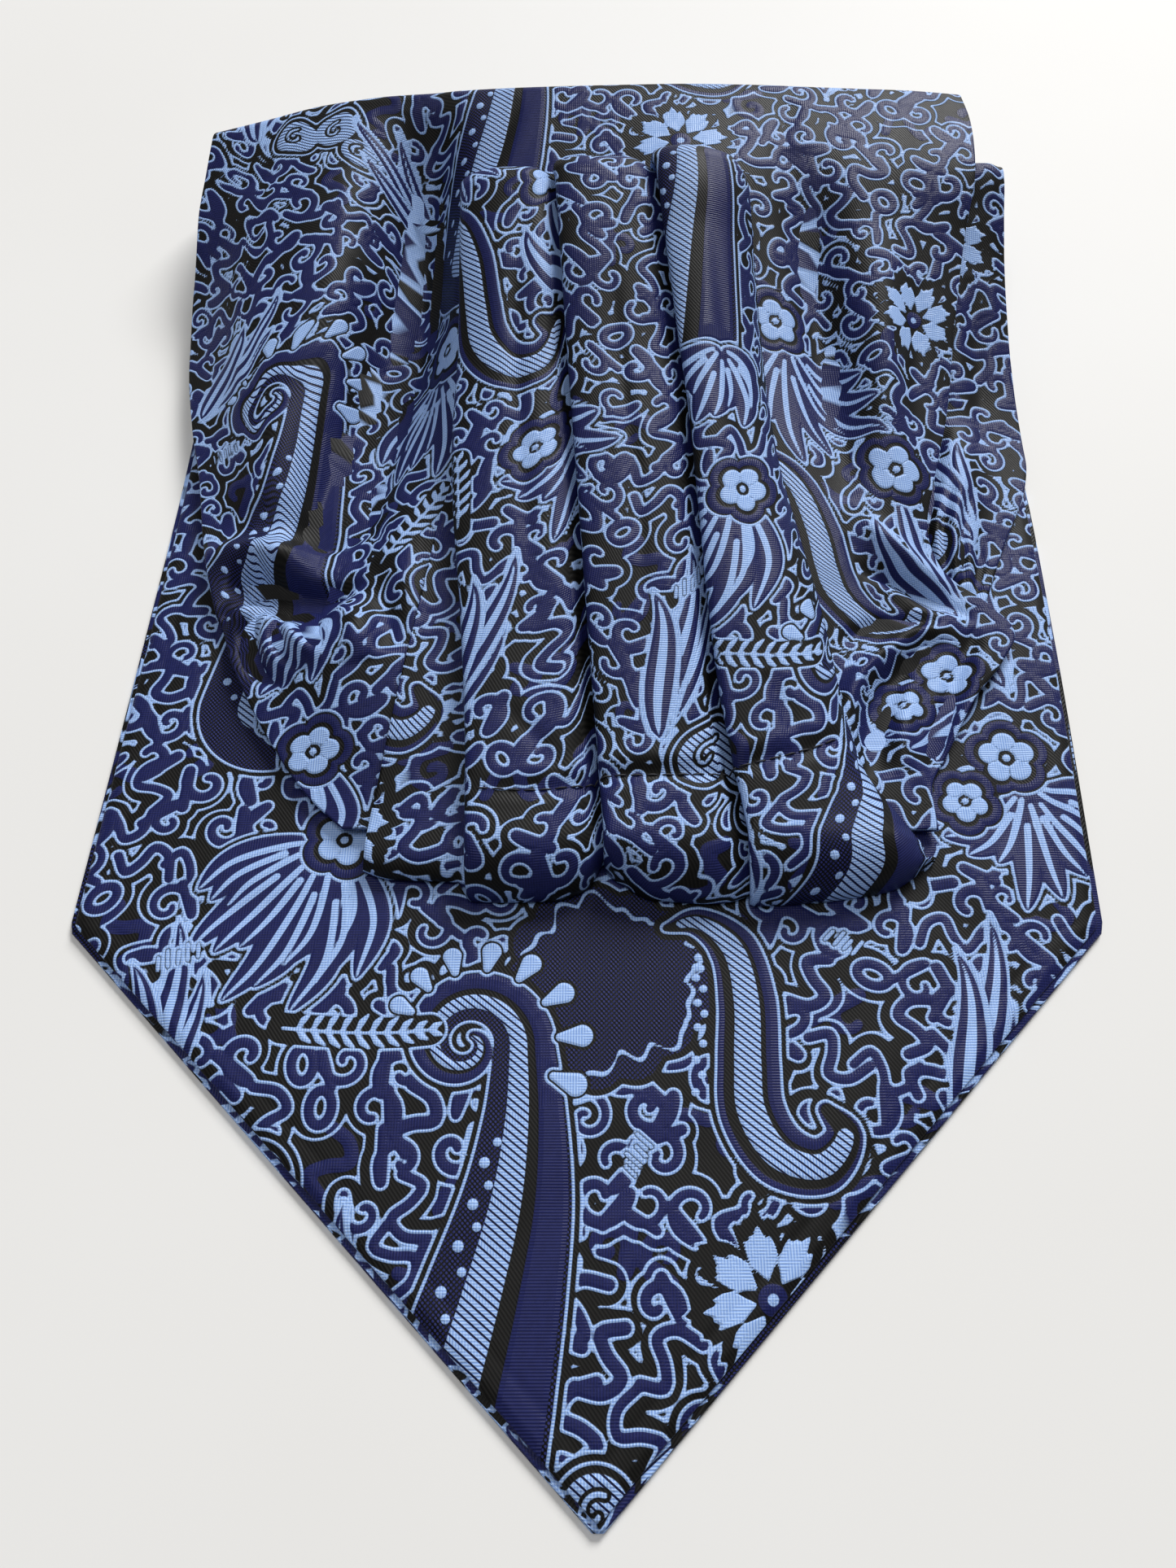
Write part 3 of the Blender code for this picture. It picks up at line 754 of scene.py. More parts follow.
ACROSS = (-80, -66, -54, -47, -40, -31, -25, -12, 5, 20, 34, 44, 54, 64, 76)
PANEL_HEIGHTS = (
    (74.0, (3.6, 3.6, 3.6, 3.6, 3.6, 3.6, 3.6, 3.6, 3.6, 3.6, 3.6, 3.6, 3.6, 3.6, 3.6)),
    (86.0, (3.6, 3.6, 3.7, 3.8, 4.2, 4.9, 4.8, 4.7, 4.6, 4.6, 4.4, 4.0, 3.7, 3.8, 3.9)),
    (97.0, (3.6, 3.7, 4.2, 5.2, 6.8, 7.6, 6.2, 6.0, 6.2, 6.3, 5.6, 4.4, 3.9, 4.2, 4.6)),
    (110.0, (3.6, 4.2, 5.8, 7.6, 10.2, 10.0, 7.6, 7.7, 8.2, 8.4, 7.0, 5.2, 4.0, 4.4, 5.2)),
    (124.0, (3.6, 5.8, 4.9, 4.6, 8.0, 11.0, 9.2, 9.8, 10.8, 11.0, 8.6, 6.8, 5.4, 4.4, 5.0)),
    (138.0, (3.6, 5.8, 7.4, 5.6, 6.2, 9.8, 10.4, 12.0, 13.2, 13.4, 9.8, 8.8, 8.0, 5.2, 5.0)),
    (152.0, (3.6, 6.0, 9.8, 8.4, 6.6, 8.2, 11.4, 14.2, 15.8, 16.0, 11.4, 10.6, 10.8, 6.9, 5.8)),
    (168.0, (3.7, 7.4, 12.4, 12.0, 9.2, 7.0, 13.0, 17.0, 18.6, 19.0, 13.6, 12.6, 14.0, 10.0, 8.0)),
    (184.0, (4.2, 9.4, 15.8, 15.0, 11.8, 7.4, 15.4, 20.0, 21.8, 22.2, 17.0, 16.2, 17.6, 15.0, 11.6)),
    (200.0, (7.0, 13.2, 18.8, 17.4, 14.2, 9.6, 17.4, 21.5, 23.6, 25.4, 21.4, 20.4, 21.4, 20.4, 17.4)),
    (214.0, (12.0, 17.4, 21.8, 21.2, 18.8, 14.6, 20.6, 23.6, 25.2, 26.8, 25.8, 25.2, 25.4, 25.3, 24.4)),
    (233.0, (17.6, 21.0, 24.0, 25.2, 26.2, 27.0, 27.4, 28.0, 28.4, 28.6, 28.4, 28.0, 27.6, 27.2, 26.2)),
)
PANEL_EDGES = (
    # y,     left,  right
    (74.0, -33.0, 53.0),
    (80.0, -37.0, 54.2),
    (87.0, -44.1, 54.0),
    (95.0, -50.0, 57.5),
    (103.6, -55.2, 62.5),
    (112.0, -59.4, 69.0),
    (118.0, -61.8, 72.0),
    (124.0, -64.0, 68.5),
    (131.0, -66.2, 61.5),
    (138.0, -68.0, 59.8),
    (150.5, -70.6, 62.6),
    (165.0, -74.4, 66.4),
    (182.0, -77.6, 69.2),
    (200.0, -78.8, 72.2),
    (214.0, -78.8, 74.8),
    (225.0, -77.8, 75.4),
    (240.0, -76.6, 73.2),
)


def panel_table(x, y):
    rows = np.array([through(ACROSS, row[1], x) for row in PANEL_HEIGHTS])
    return through(column(PANEL_HEIGHTS, 0), rows, y)


def panel_top(x, y):
    """The return panel's upper face, softened over a few millimetres."""
    x = np.atleast_1d(np.asarray(x, float))
    y = np.broadcast_to(np.asarray(y, float), x.shape)
    total = 2 * panel_table(x, y)
    for dx, dy in ((3, 0), (-3, 0), (0, 4), (0, -4)):
        total = total + panel_table(x + dx, y + dy)
    return total / 6


def panel_edge(side, y):
    return through(column(PANEL_EDGES, 0), column(PANEL_EDGES, side), y)


print("panel height at its middle:", round(float(panel_top(5.0, 180.0)[0]), 2), "mm")


# %% Creases placed one by one
# Each is a soft trough, or a ridge where its depth is below nought, with its own line,
# depth and width in millimetres. It dies out at both ends.
PANEL_CREASES = (
    # depth, width, line
    (3.4, 2.4, ((-62, 128), (-55, 126), (-50, 124.5), (-45, 124), (-38, 127))),
    (3.0, 6.0, ((-39, 196), (-43, 176), (-45, 158), (-45, 142), (-46, 130))),
    (2.2, 1.7, ((-52, 124), (-57, 118), (-55, 110), (-47, 105))),
    (1.8, 1.4, ((-50, 123), (-52, 117), (-50, 111), (-44, 107))),
    (1.5, 1.3, ((-47, 122), (-47, 117), (-44, 111))),
    (1.2, 1.3, ((-55, 126), (-62, 121), (-61, 113))),
    (-2.4, 3.5, ((-44, 121), (-39, 116), (-37, 108))),
    (-3.2, 3.4, ((-68, 133), (-56, 132.5), (-46, 133), (-38, 138))),
    (-2.4, 2.6, ((-62, 121), (-56, 120), (-50, 116), (-46, 110))),
    (1.0, 2.2, ((-36, 130), (-34, 120), (-32, 110))),
    (-2.8, 7.0, ((-66, 218), (-66, 192), (-63, 166), (-60, 142))),
    (6.0, 6.6, ((-45, 128), (-43, 142), (-39, 162), (-36, 186), (-34, 205), (-32, 230))),
    (-2.0, 4.6, ((-58, 118), (-50, 113), (-41, 114))),
    (-2.2, 2.0, ((65, 121), (54, 116), (45, 108), (41.5, 98), (41, 87))),
    (1.6, 1.6, ((66, 119), (61, 108), (57, 98), (55, 88))),
    (1.8, 3.0, ((62, 117), (54, 109), (48, 100), (46, 90))),
    (1.6, 1.5, ((67, 121), (60, 124), (54, 128), (46, 130))),
    (1.1, 1.3, ((65, 119), (56, 120), (47, 118), (42, 114))),
    (-2.4, 2.4, ((63, 126), (56, 131), (48, 139))),
    (-1.8, 2.2, ((62, 116), (55, 110), (51, 101), (50, 91))),
    (3.2, 4.6, ((41, 218), (43, 190), (45, 165), (47, 142))),
    (-0.8, 3.5, ((56, 200), (56, 180), (54, 158))),
    (0.7, 2.4, ((62, 190), (60, 172), (58, 154))),
    (0.6, 2.0, ((-14, 231), (-18, 220), (-24, 212))),
    (0.6, 2.4, ((40, 230), (38, 218), (36, 208))),
)


def creases(x, y, table):
    """How far the creases lower or raise the cloth at each place."""
    rise = np.zeros(x.shape)
    for depth, width, points in table:
        line = curve(points, step=2.0)
        length = len(line) - 1
        nearest = np.full(x.shape, 1e6)
        along = np.zeros(x.shape)
        side = np.zeros(x.shape)
        for k, (a, b) in enumerate(zip(line, line[1:])):
            dx, dy = b - a
            t = np.clip(((x - a[0]) * dx + (y - a[1]) * dy) / (dx * dx + dy * dy), 0, 1)
            ex, ey = x - a[0] - t * dx, y - a[1] - t * dy
            d = np.hypot(ex, ey)
            closer = d < nearest
            nearest = np.where(closer, d, nearest)
            along = np.where(closer, (k + t) / length, along)
            side = np.where(closer, np.sign(dx * ey - dy * ex), side)
        fade = np.sin(np.pi * np.clip(along, 0.0, 1.0)) ** 0.7
        trough = np.exp(-((nearest / width) ** 2))
        lip = np.exp(-(((nearest * side - 1.9 * width) / (1.1 * width)) ** 2))
        rise += fade * depth * (0.35 * lip - trough)
    return rise


print(len(PANEL_CREASES), "creases on the panel")


# %% [markdown]
# ## From a grid of points to a cloth wall
# Every stretch is a closed thin wall: a fine outer face, a plain inner face and two
# rolled edges. Fine squares go only where the cloth shows. Where another layer hides it,
# eight by eight squares are joined into one face, and a joined face keeps the corner
# points that its finer neighbour needs, so that the mesh stays closed.

# %% Faces of a closed ring of points, in blocks
BLOCK = 8


def patchwork(row_cuts, col_cuts, steps, around):
    """Faces of a grid that closes on itself across. steps gives each block's two steps."""
    quads = []
    faces = []
    last_row, last_col = len(row_cuts) - 1, len(col_cuts) - 1
    for a in range(last_row):
        r0, r1 = row_cuts[a], row_cuts[a + 1]
        for b in range(last_col):
            c0, c1 = col_cuts[b], col_cuts[b + 1]
            down, across = steps[a][b]
            if down == 1 and across == 1:
                r, c = np.meshgrid(np.arange(r0, r1), np.arange(c0, c1), indexing="ij")
                r, c = r.ravel(), c.ravel()
                d = (c + 1) % around
                c = c % around
                quads.append(np.stack([r * around + c, r * around + d,
                                       (r + 1) * around + d, (r + 1) * around + c], 1))
                continue
            before = steps[a - 1][b][1] if a > 0 else across
            after = steps[a + 1][b][1] if a + 1 < last_row else across
            left = steps[a][b - 1][0]
            right = steps[a][(b + 1) % last_col][0]
            for r in range(r0, r1, down):
                for c in range(c0, c1, across):
                    low = min(across, before) if r == r0 else across
                    high = min(across, after) if r + down == r1 else across
                    near = min(down, left) if c == c0 else down
                    far = min(down, right) if c + across == c1 else down
                    loop = [(r, k) for k in range(c, c + across, low)]
                    loop += [(k, c + across) for k in range(r, r + down, far)]
                    loop += [(r + down, k) for k in range(c + across, c, -high)]
                    loop += [(k, c) for k in range(r + down, r, -near)]
                    faces.append([i * around + j % around for i, j in loop])
    if quads:
        faces = np.concatenate(quads).tolist() + faces
    for row, block, way in ((0, steps[0], -1), (row_cuts[-1], steps[-1], 1)):
        cap = [row * around + k % around
               for b in range(last_col) for k in range(col_cuts[b], col_cuts[b + 1], block[b][1])]
        faces.append(cap[::way])
    return faces


def cuts(cells):
    return list(range(0, cells + 1, BLOCK))


def unit(vectors):
    return vectors / np.maximum(np.linalg.norm(vectors, axis=-1, keepdims=True), 1e-9)


def read_chart(name, u, v):
    """The chart at cloth places u, v in millimetres, read between its cells."""
    field = chart[name]
    x = (np.asarray(u) / CELL) % COLS
    y = (np.asarray(v) / CELL) % ROWS
    i, j = x.astype(int), y.astype(int)
    fx, fy = x - i, y - j
    i1, j1 = (i + 1) % COLS, (j + 1) % ROWS
    i, j = i % COLS, j % ROWS
    low = field[j, i] * (1 - fx) + field[j, i1] * fx
    high = field[j1, i] * (1 - fx) + field[j1, i1] * fx
    return low * (1 - fy) + high * fy


FIGURES = ("light", "navy", "hatch", "speckle", "edge", "lie")


def cloth_object(name, points, faces, u, v, material):
    """A mesh that carries its place on the cloth and the chart's distances there."""
    used = np.unique(np.fromiter((k for face in faces for k in face), int))
    place_of = np.full(len(points), -1)
    place_of[used] = np.arange(len(used))
    order = place_of.tolist()
    faces = [[order[k] for k in face] for face in faces]
    mesh = bpy.data.meshes.new(name)
    mesh.from_pydata(to_world(points[used]).tolist(), [], faces)
    mesh.update()
    u, v = u[used], v[used]
    for figure in FIGURES:
        data = mesh.attributes.new(figure, "FLOAT", "POINT").data
        data.foreach_set("value", read_chart(figure, u, v).astype(np.float32))
    place = np.stack([u, v, np.zeros(len(u))], 1).astype(np.float32)
    mesh.attributes.new("cloth", "FLOAT_VECTOR", "POINT").data.foreach_set("vector", place.ravel())
    mesh.shade_smooth()
    mesh.materials.append(material)
    made = bpy.data.objects.new(name, mesh)
    bpy.context.scene.collection.objects.link(made)
    triangles = sum(len(face) - 2 for face in faces)
    print(name, "has", triangles, "triangles")
    return made


EDGE_TURNS = (30, 90, 150)


def shell(name, face, u, v, wall, block_steps, material, inner_cols=24):
    """A thin closed wall under face, a grid of rows that run toward the far side."""
    rows, cols = face.shape[:2]
    along = unit(np.gradient(face, axis=0))
    across = unit(np.gradient(face, axis=1))
    normal = unit(np.cross(across, along))
    pick = np.linspace(cols - 1, 0, inner_cols).round().astype(int)
    ring = [face]
    ring_u, ring_v = [u], [v]
    for end, way in ((cols - 1, 1), (0, -1)):
        turns = EDGE_TURNS if way == 1 else EDGE_TURNS[::-1]
        if way == -1:
            ring.append(face[:, pick] - normal[:, pick] * wall)
            ring_u.append(u[:, pick])
            ring_v.append(v[:, pick])
        centre = face[:, end] - normal[:, end] * wall / 2
        for turn in turns:
            a = math.radians(turn)
            out = normal[:, end] * math.cos(a) + across[:, end] * way * math.sin(a)
            ring.append((centre + out * wall / 2)[:, None])
            ring_u.append((u[:, end] + way * wall / 2 * a)[:, None])
            ring_v.append(v[:, end][:, None])
    ring = np.concatenate(ring, axis=1)
    ring_u, ring_v = np.concatenate(ring_u, axis=1), np.concatenate(ring_v, axis=1)
    around = ring.shape[1]
    col_cuts = cuts(cols - 1)
    extra = [cols - 1 + len(EDGE_TURNS) + 1, cols - 1 + len(EDGE_TURNS) + inner_cols, around]
    row_cuts = cuts(rows - 1)
    steps = []
    for a, row in enumerate(block_steps):
        steps.append(list(row) + [(2, 1), (BLOCK, 1), (2, 1)])
    faces = patchwork(row_cuts, col_cuts + extra, steps, around)
    return cloth_object(name, ring.reshape(-1, 3), faces, ring_u.ravel(), ring_v.ravel(), material)


def travelled(points, axis, start):
    """Distance along the cloth from row or column start."""
    step = np.linalg.norm(np.diff(points, axis=axis), axis=-1)
    total = np.cumsum(step, axis=axis)
    pad = [(0, 0), (0, 0)]
    pad[axis] = (1, 0)
    total = np.pad(total, pad)
    return total - np.take(total, [start], axis=axis)


print("cloth builder ready")


# %% [markdown]
# ## The silk itself
# Three things make the finish. The ground is a charcoal satin with a fine diagonal
# twill, whose lines are raised a little and also painted into the colour as faint shade
# and highlight. The figures are floats, which lie a little proud and catch the light in
# short ribs, square to the line that they draw; the highlight and shade of these ribs are
# painted into the colour as well. The hatched figures show dark diagonal binding lines,
# and the speckled ones a small basket of navy and charcoal.

# %% The jacquard material
# Each colour has a shaded copy and a lit copy. Mixing between them by the twill and rib waves paints shade and
# highlight along the threads into the base colour.
GROUND_DARK, GROUND_LIT = colour(6, 6, 6), colour(29, 28, 26)
NAVY_DARK, NAVY_LIT = colour(17, 20, 56), colour(38, 44, 100)
LIGHT_DARK, LIGHT_LIT = colour(108, 146, 212), colour(190, 217, 254)
THREAD = 0.40
TWILL = 0.46
HATCH_PITCH = 0.86
BASKET = 0.72
SOFT = 0.12
OUTLINE = 0.20


def jacquard(name):
    material, tree, shader = blank_material(name)
    light, navy = attribute(tree, "light"), attribute(tree, "navy")
    hatch, speckle = attribute(tree, "hatch"), attribute(tree, "speckle")
    lie = attribute(tree, "lie")
    cloth = attribute(tree, "cloth", "Vector")
    u = cloth.node("ShaderNodeSeparateXYZ", output="X", Vector=cloth)
    v = cloth.node("ShaderNodeSeparateXYZ", output="Y", Vector=cloth)

    twill = (u * 0.80 + v * 0.60).sine(TWILL)
    rib_u, rib_v = u.sine(THREAD), v.sine(THREAD)
    ribs = rib_u + (rib_v - rib_u) * lie
    # A random mottle of tone. It also moves the colour between the shaded and lit copies, a painted uneven
    # sheen, and it varies the roughness.
    random_mottle = cloth.node("ShaderNodeTexNoise", Vector=cloth, Scale=0.9, Detail=3.0)

    # Painted shade and highlight: the twill lines and the float ribs move the colour between its shaded and lit
    # copies, besides the bump below.
    ground = (twill * 0.6 + random_mottle * 0.4).over(GROUND_DARK, GROUND_LIT)
    navy_floats = (ribs * 0.55 + random_mottle * 0.45).over(NAVY_DARK, NAVY_LIT)
    light_floats = (ribs * 0.75 + random_mottle * 0.25).over(LIGHT_DARK, LIGHT_LIT)

    binding = (u * 0.62 + v * 0.78).sine(HATCH_PITCH)
    bound = ((binding - 0.70) * 6.0).math("MULTIPLY", 1.0, clamp=True)
    hatched = bound.over(light_floats, NAVY_DARK)
    checks = (u + v).sine(BASKET) * (u - v).sine(BASKET)
    basket = ((checks - 0.20) * 8.0).math("MULTIPLY", 1.0, clamp=True)
    speckled = basket.over(GROUND_DARK, NAVY_LIT)

    outline = attribute(tree, "edge").math("ABSOLUTE")
    light = light.math("MINIMUM", outline - OUTLINE)
    in_light, in_navy = light.inside(0.0, SOFT), navy.inside(0.0, SOFT)
    in_hatch, in_speckle = hatch.inside(0.0, SOFT), speckle.inside(0.0, SOFT)
    base = in_navy.over(ground, navy_floats)
    base = in_speckle.over(base, speckled)
    base = in_hatch.over(base, hatched)
    base = in_light.over(base, light_floats)
    tree.links.new(base.socket, shader.inputs["Base Color"])

    figure = light.inside(-0.12, 0.5).math("MAXIMUM", navy.inside(-0.25, 0.9) * 0.75)
    figure = figure.math("MAXIMUM", hatch.inside(-0.15, 0.6) * (1.0 - bound * 0.6))
    floats = in_light.math("MAXIMUM", in_navy).math("MAXIMUM", in_hatch)
    fine = twill * (1.0 - floats) * 0.16 + ribs * floats * 0.22
    height = figure * 0.9 + fine
    bump = height.node("ShaderNodeBump", Strength=0.9, Distance=0.00022, Height=height)
    tree.links.new(bump.socket, shader.inputs["Normal"])
    rough = 0.46 - floats * 0.10 + random_mottle * 0.08
    tree.links.new(rough.socket, shader.inputs["Roughness"])
    shader.inputs["Specular IOR Level"].default_value = 0.14
    return material


silk = jacquard("jacquard_silk")
print("silk has", len(silk.node_tree.nodes), "nodes")


# %% [markdown]
# ## The front blade
# The blade is two layers: the silk and a facing of the same silk behind it. The silk's
# edge is turned under, so it looks soft and rounded, and the facing's edge lies just
# outside it along the two slanted sides.

# %% Blade outline
BLADE_SIDES = (
    # y,    left,  right
    (CORNER_Y, CORNER_LEFT, CORNER_RIGHT),
    (120.0, -76.1, 80.2),
    (156.0, -75.2, 81.2),
    (230.0, -75.0, 80.5),
)
BLADE_FINE = 0.44
BLADE_TOP = 1.85
BLADE_SHELL = 0.9
HEM_INSET = 0.7


def blade_edge(side, y):
    y = np.asarray(y, float)
    share = np.clip((y - TIP_Y) / (CORNER_Y - TIP_Y), 0, 1)
    return TIP_X + (through(column(BLADE_SIDES, 0), column(BLADE_SIDES, side), y) - TIP_X) * share


def edge_gap(x, y):
    """Distance from the blade's nearest edge, square to it."""
    slant = np.where(y < CORNER_Y, math.sqrt(0.5), 1.0)
    return np.minimum(x - blade_edge(1, y), blade_edge(2, y) - x) * slant


BLADE_CREASES = (
    # depth, width, line
    (0.35, 3.0, ((-70, 72), (-55, 68), (-40, 70))),
    (-0.35, 5.0, ((-58, 50), (-35, 42), (-12, 46))),
    (0.30, 4.0, ((-20, 14), (-8, 22), (4, 30), (18, 34))),
    (-0.40, 5.0, ((20, 20), (34, 34), (48, 52))),
    (0.35, 3.5, ((46, 78), (56, 66), (64, 62))),
    (0.45, 3.0, ((70, 100), (66, 84), (60, 76))),
    (-0.35, 4.0, ((-72, 100), (-66, 118), (-70, 136))),
)


def blade_top(x, y):
    wave = 0.12 * np.sin(y / 21.0 + x / 37.0) + 0.08 * np.sin(x / 11.0 + y / 17.0)
    hem = 0.55 * (1 - smoothstep(0.0, 2.2, edge_gap(x, y))) + 0.10 * np.exp(-((edge_gap(x, y) - 4.6) / 0.8) ** 2)
    return BLADE_TOP + wave - hem + creases(x, y, BLADE_CREASES)


print("blade is", round(float(blade_edge(2, CORNER_Y)[0] - blade_edge(1, CORNER_Y)[0]), 1), "mm wide")


# %% Blade cloth
def hidden_by_panel(x, y):
    """True where the panel or the band lies well over the place."""
    left, right = panel_edge(1, y), panel_edge(2, y)
    return (y > 88) & (x > left + 7) & (x < right - 7)


def front_blade():
    near_rows, far_rows = 36 * BLOCK, 26 * BLOCK
    start = TIP_Y + HEM_INSET * math.sqrt(2.0) + 0.12
    ys = np.concatenate([np.linspace(start, 100.0, near_rows + 1),
                         np.linspace(100.0, CREST_Y - 0.2, far_rows + 1)[1:]])
    cols = 44 * BLOCK + 1
    share = np.linspace(0, 1, cols)
    slant = np.where(ys < CORNER_Y, math.sqrt(2.0), 1.0)
    left = blade_edge(1, ys) + HEM_INSET * slant
    right = blade_edge(2, ys) - HEM_INSET * slant
    x = left[:, None] + (right - left)[:, None] * share
    y = np.repeat(ys[:, None], cols, axis=1)
    z = blade_top(x.ravel(), y.ravel()).reshape(x.shape)
    face = np.stack([x, y, z], axis=-1)
    width = (right - left) / (CORNER_RIGHT - CORNER_LEFT)
    steps = []
    for a in range((len(ys) - 1) // BLOCK):
        share_here = width[a * BLOCK + BLOCK // 2]
        across = 1 if share_here > 0.55 else 2 if share_here > 0.28 else 4 if share_here > 0.13 else 8
        row = []
        for b in range((cols - 1) // BLOCK):
            i, j = a * BLOCK + BLOCK // 2, b * BLOCK + BLOCK // 2
            hidden = bool(hidden_by_panel(x[i, j], np.array([y[i, j]]))[0])
            row.append((BLOCK, BLOCK) if hidden else (1, across))
        steps.append(row)
    return shell("front_blade_silk", face, x, y, BLADE_SHELL, steps, silk)


blade = front_blade()


# %% Facing
FACING_TOP = 0.78
FACING_WALL = 0.7


def facing():
    rows, cols = 20 * BLOCK + 1, 5 * BLOCK + 1
    ys = np.concatenate([np.linspace(TIP_Y + 0.05, CORNER_Y + 20, 13 * BLOCK + 1),
                         np.linspace(CORNER_Y + 20, CREST_Y - 1, 7 * BLOCK + 1)[1:]])
    slant = np.where(ys < CORNER_Y, math.sqrt(2.0), 1.0)
    left = blade_edge(1, ys) - (FACING_REACH - FACING_WALL / 2) * slant
    right = blade_edge(2, ys) + (FACING_REACH - FACING_WALL / 2) * slant
    x = left[:, None] + (right - left)[:, None] * np.linspace(0, 1, cols)
    y = np.repeat(ys[:, None], cols, axis=1)
    face = np.stack([x, y, np.full(x.shape, FACING_TOP)], axis=-1)
    steps = [[(1, 1)] * ((cols - 1) // BLOCK) for _ in range((rows - 1) // BLOCK)]
    return shell("front_blade_facing", face, -x + 31.0, y + 47.0, FACING_WALL, steps, silk, inner_cols=9)


blade_facing = facing()


# %% [markdown]
# ## The return panel
# This is the wide stretch that turns over the far fold and comes back on top. It swells
# in soft billows beside the band and is pinched at the left and right, where the cloth
# is caught under the pleats.

# %% Panel cloth
PANEL_SHELL = 0.8
PANEL_LOWEST = 2.9
PANEL_OFFSET = (6.0, -18.0)
FOLD_TURN = 172


def panel_face(x, y):
    """The panel with its creases, kept clear of the blade below."""
    face = panel_top(x, y) + creases(x, y, PANEL_CREASES)
    lowest = PANEL_LOWEST + 1.2 * smoothstep(128.0, 145.0, y)
    over = face - lowest
    return lowest + (over + np.sqrt(over * over + 0.1)) / 2


def return_panel():
    rows_flat, rows_fold = 38 * BLOCK, 6 * BLOCK
    cols = 36 * BLOCK + 1
    ys = np.linspace(PANEL_NEAR, CREST_Y, rows_flat + 1)
    share = np.linspace(0, 1, cols)
    left, right = panel_edge(1, ys), panel_edge(2, ys)
    x = left[:, None] + (right - left)[:, None] * share
    y = np.repeat(ys[:, None], cols, axis=1)
    z = panel_face(x.ravel(), y.ravel()).reshape(x.shape)
    flat = np.stack([x, y, z], axis=-1)
    crest = flat[-1]
    half = crest[:, 2] / 2
    fold = []
    for k in range(1, rows_fold + 1):
        a = math.radians(FOLD_TURN * k / rows_fold)
        ripple = 0.5 * np.sin(crest[:, 0] / 9.0) * math.sin(a)
        fold.append(np.stack([crest[:, 0], CREST_Y + (CREST_DEPTH + ripple) * math.sin(a),
                              half + half * math.cos(a)], axis=-1))
    face = np.concatenate([flat, np.array(fold)])
    u = travelled(face, 1, cols // 2) + (face[:, cols // 2, 0])[:, None] + PANEL_OFFSET[0]
    v = travelled(face, 0, 0) + PANEL_NEAR + PANEL_OFFSET[1]
    steps = []
    for a in range((rows_flat + rows_fold) // BLOCK):
        row = []
        for b in range((cols - 1) // BLOCK):
            i, j = a * BLOCK + BLOCK // 2, b * BLOCK + BLOCK // 2
            under = i < rows_flat and 88 < y[i, 0] < 190 and -17 < x[i, j] < 27
            row.append((BLOCK, BLOCK) if under else (1, 1) if i < rows_flat else (2, 1))
        steps.append(row)
    return shell("return_panel_silk", face, u, v, PANEL_SHELL, steps, silk)


panel = return_panel()


# %% [markdown]
# ## The inner stretch at the right
# Under the panel, a strip of the layer below shows at the right. It rises to its own
# small fold, and near the pinch it swells into a bulge with ribs that fan upward.

# %% Inner stretch
INNER_CREST = 217.0
INNER_DEPTH = 4.5
INNER_LEFT = 51.0
INNER_RIGHT = 81.6
INNER_NEAR = 121.5
INNER_SHELL = 0.8
INNER_HEIGHTS = (
    # y,    valley, edge
    (121.0, 2.9, 2.9),
    (135.0, 3.2, 3.2),
    (148.0, 3.8, 3.8),
    (160.0, 4.3, 4.0),
    (170.0, 6.0, 4.9),
    (180.0, 8.6, 7.2),
    (190.0, 12.0, 10.6),
    (200.0, 15.4, 14.4),
    (208.0, 18.9, 18.4),
    (217.0, 22.5, 22.6),
    (225.0, 22.8, 22.8),
)
INNER_EDGE = (
    # y,   right
    (121.5, 67.0),
    (127.0, 69.5),
    (134.0, 72.4),
    (142.0, 76.0),
    (150.0, 79.6),
    (158.0, 81.2),
    (217.0, INNER_RIGHT),
)
INNER_CREASES = (
    # depth, width, line
    (-3.2, 4.2, ((65, 123), (63.5, 131), (64.5, 140), (67.5, 152), (69, 166))),
    (1.5, 1.1, ((65, 121), (60.8, 129), (60.2, 139), (62.6, 152))),
    (1.3, 1.0, ((65, 121), (63.2, 130), (63.4, 140), (66.4, 151))),
    (1.1, 0.9, ((65.4, 121), (65.8, 131), (67.0, 141), (70, 150))),
    (1.0, 1.0, ((66, 122), (68.6, 131), (70.8, 141))),
    (0.8, 2.2, ((74, 160), (75, 178), (74, 196))),
)


def inner_top(x, y):
    """The inner stretch's upper face: it runs up under the panel at its left."""
    ys = column(INNER_HEIGHTS, 0)
    valley = through(ys, column(INNER_HEIGHTS, 1), y)
    edge = through(ys, column(INNER_HEIGHTS, 2), y)
    own = valley + (edge - valley) * smoothstep(68, INNER_RIGHT, x)
    own = own - 0.9 * smoothstep(INNER_RIGHT - 3, INNER_RIGHT, x) * smoothstep(168, 195, y)
    roof = panel_top(x, y)
    under = np.maximum(roof - 2.5, 3.2)
    covered = under + CREST_Y * smoothstep(60, 76, x)
    own = np.minimum(own + (under - own) * smoothstep(66, 54, x), covered)
    bulge = creases(x, y, INNER_CREASES)
    open_part = smoothstep(-1.5, 2.5, x - panel_edge(2, y))
    return np.maximum(own + bulge * open_part, 2.85)


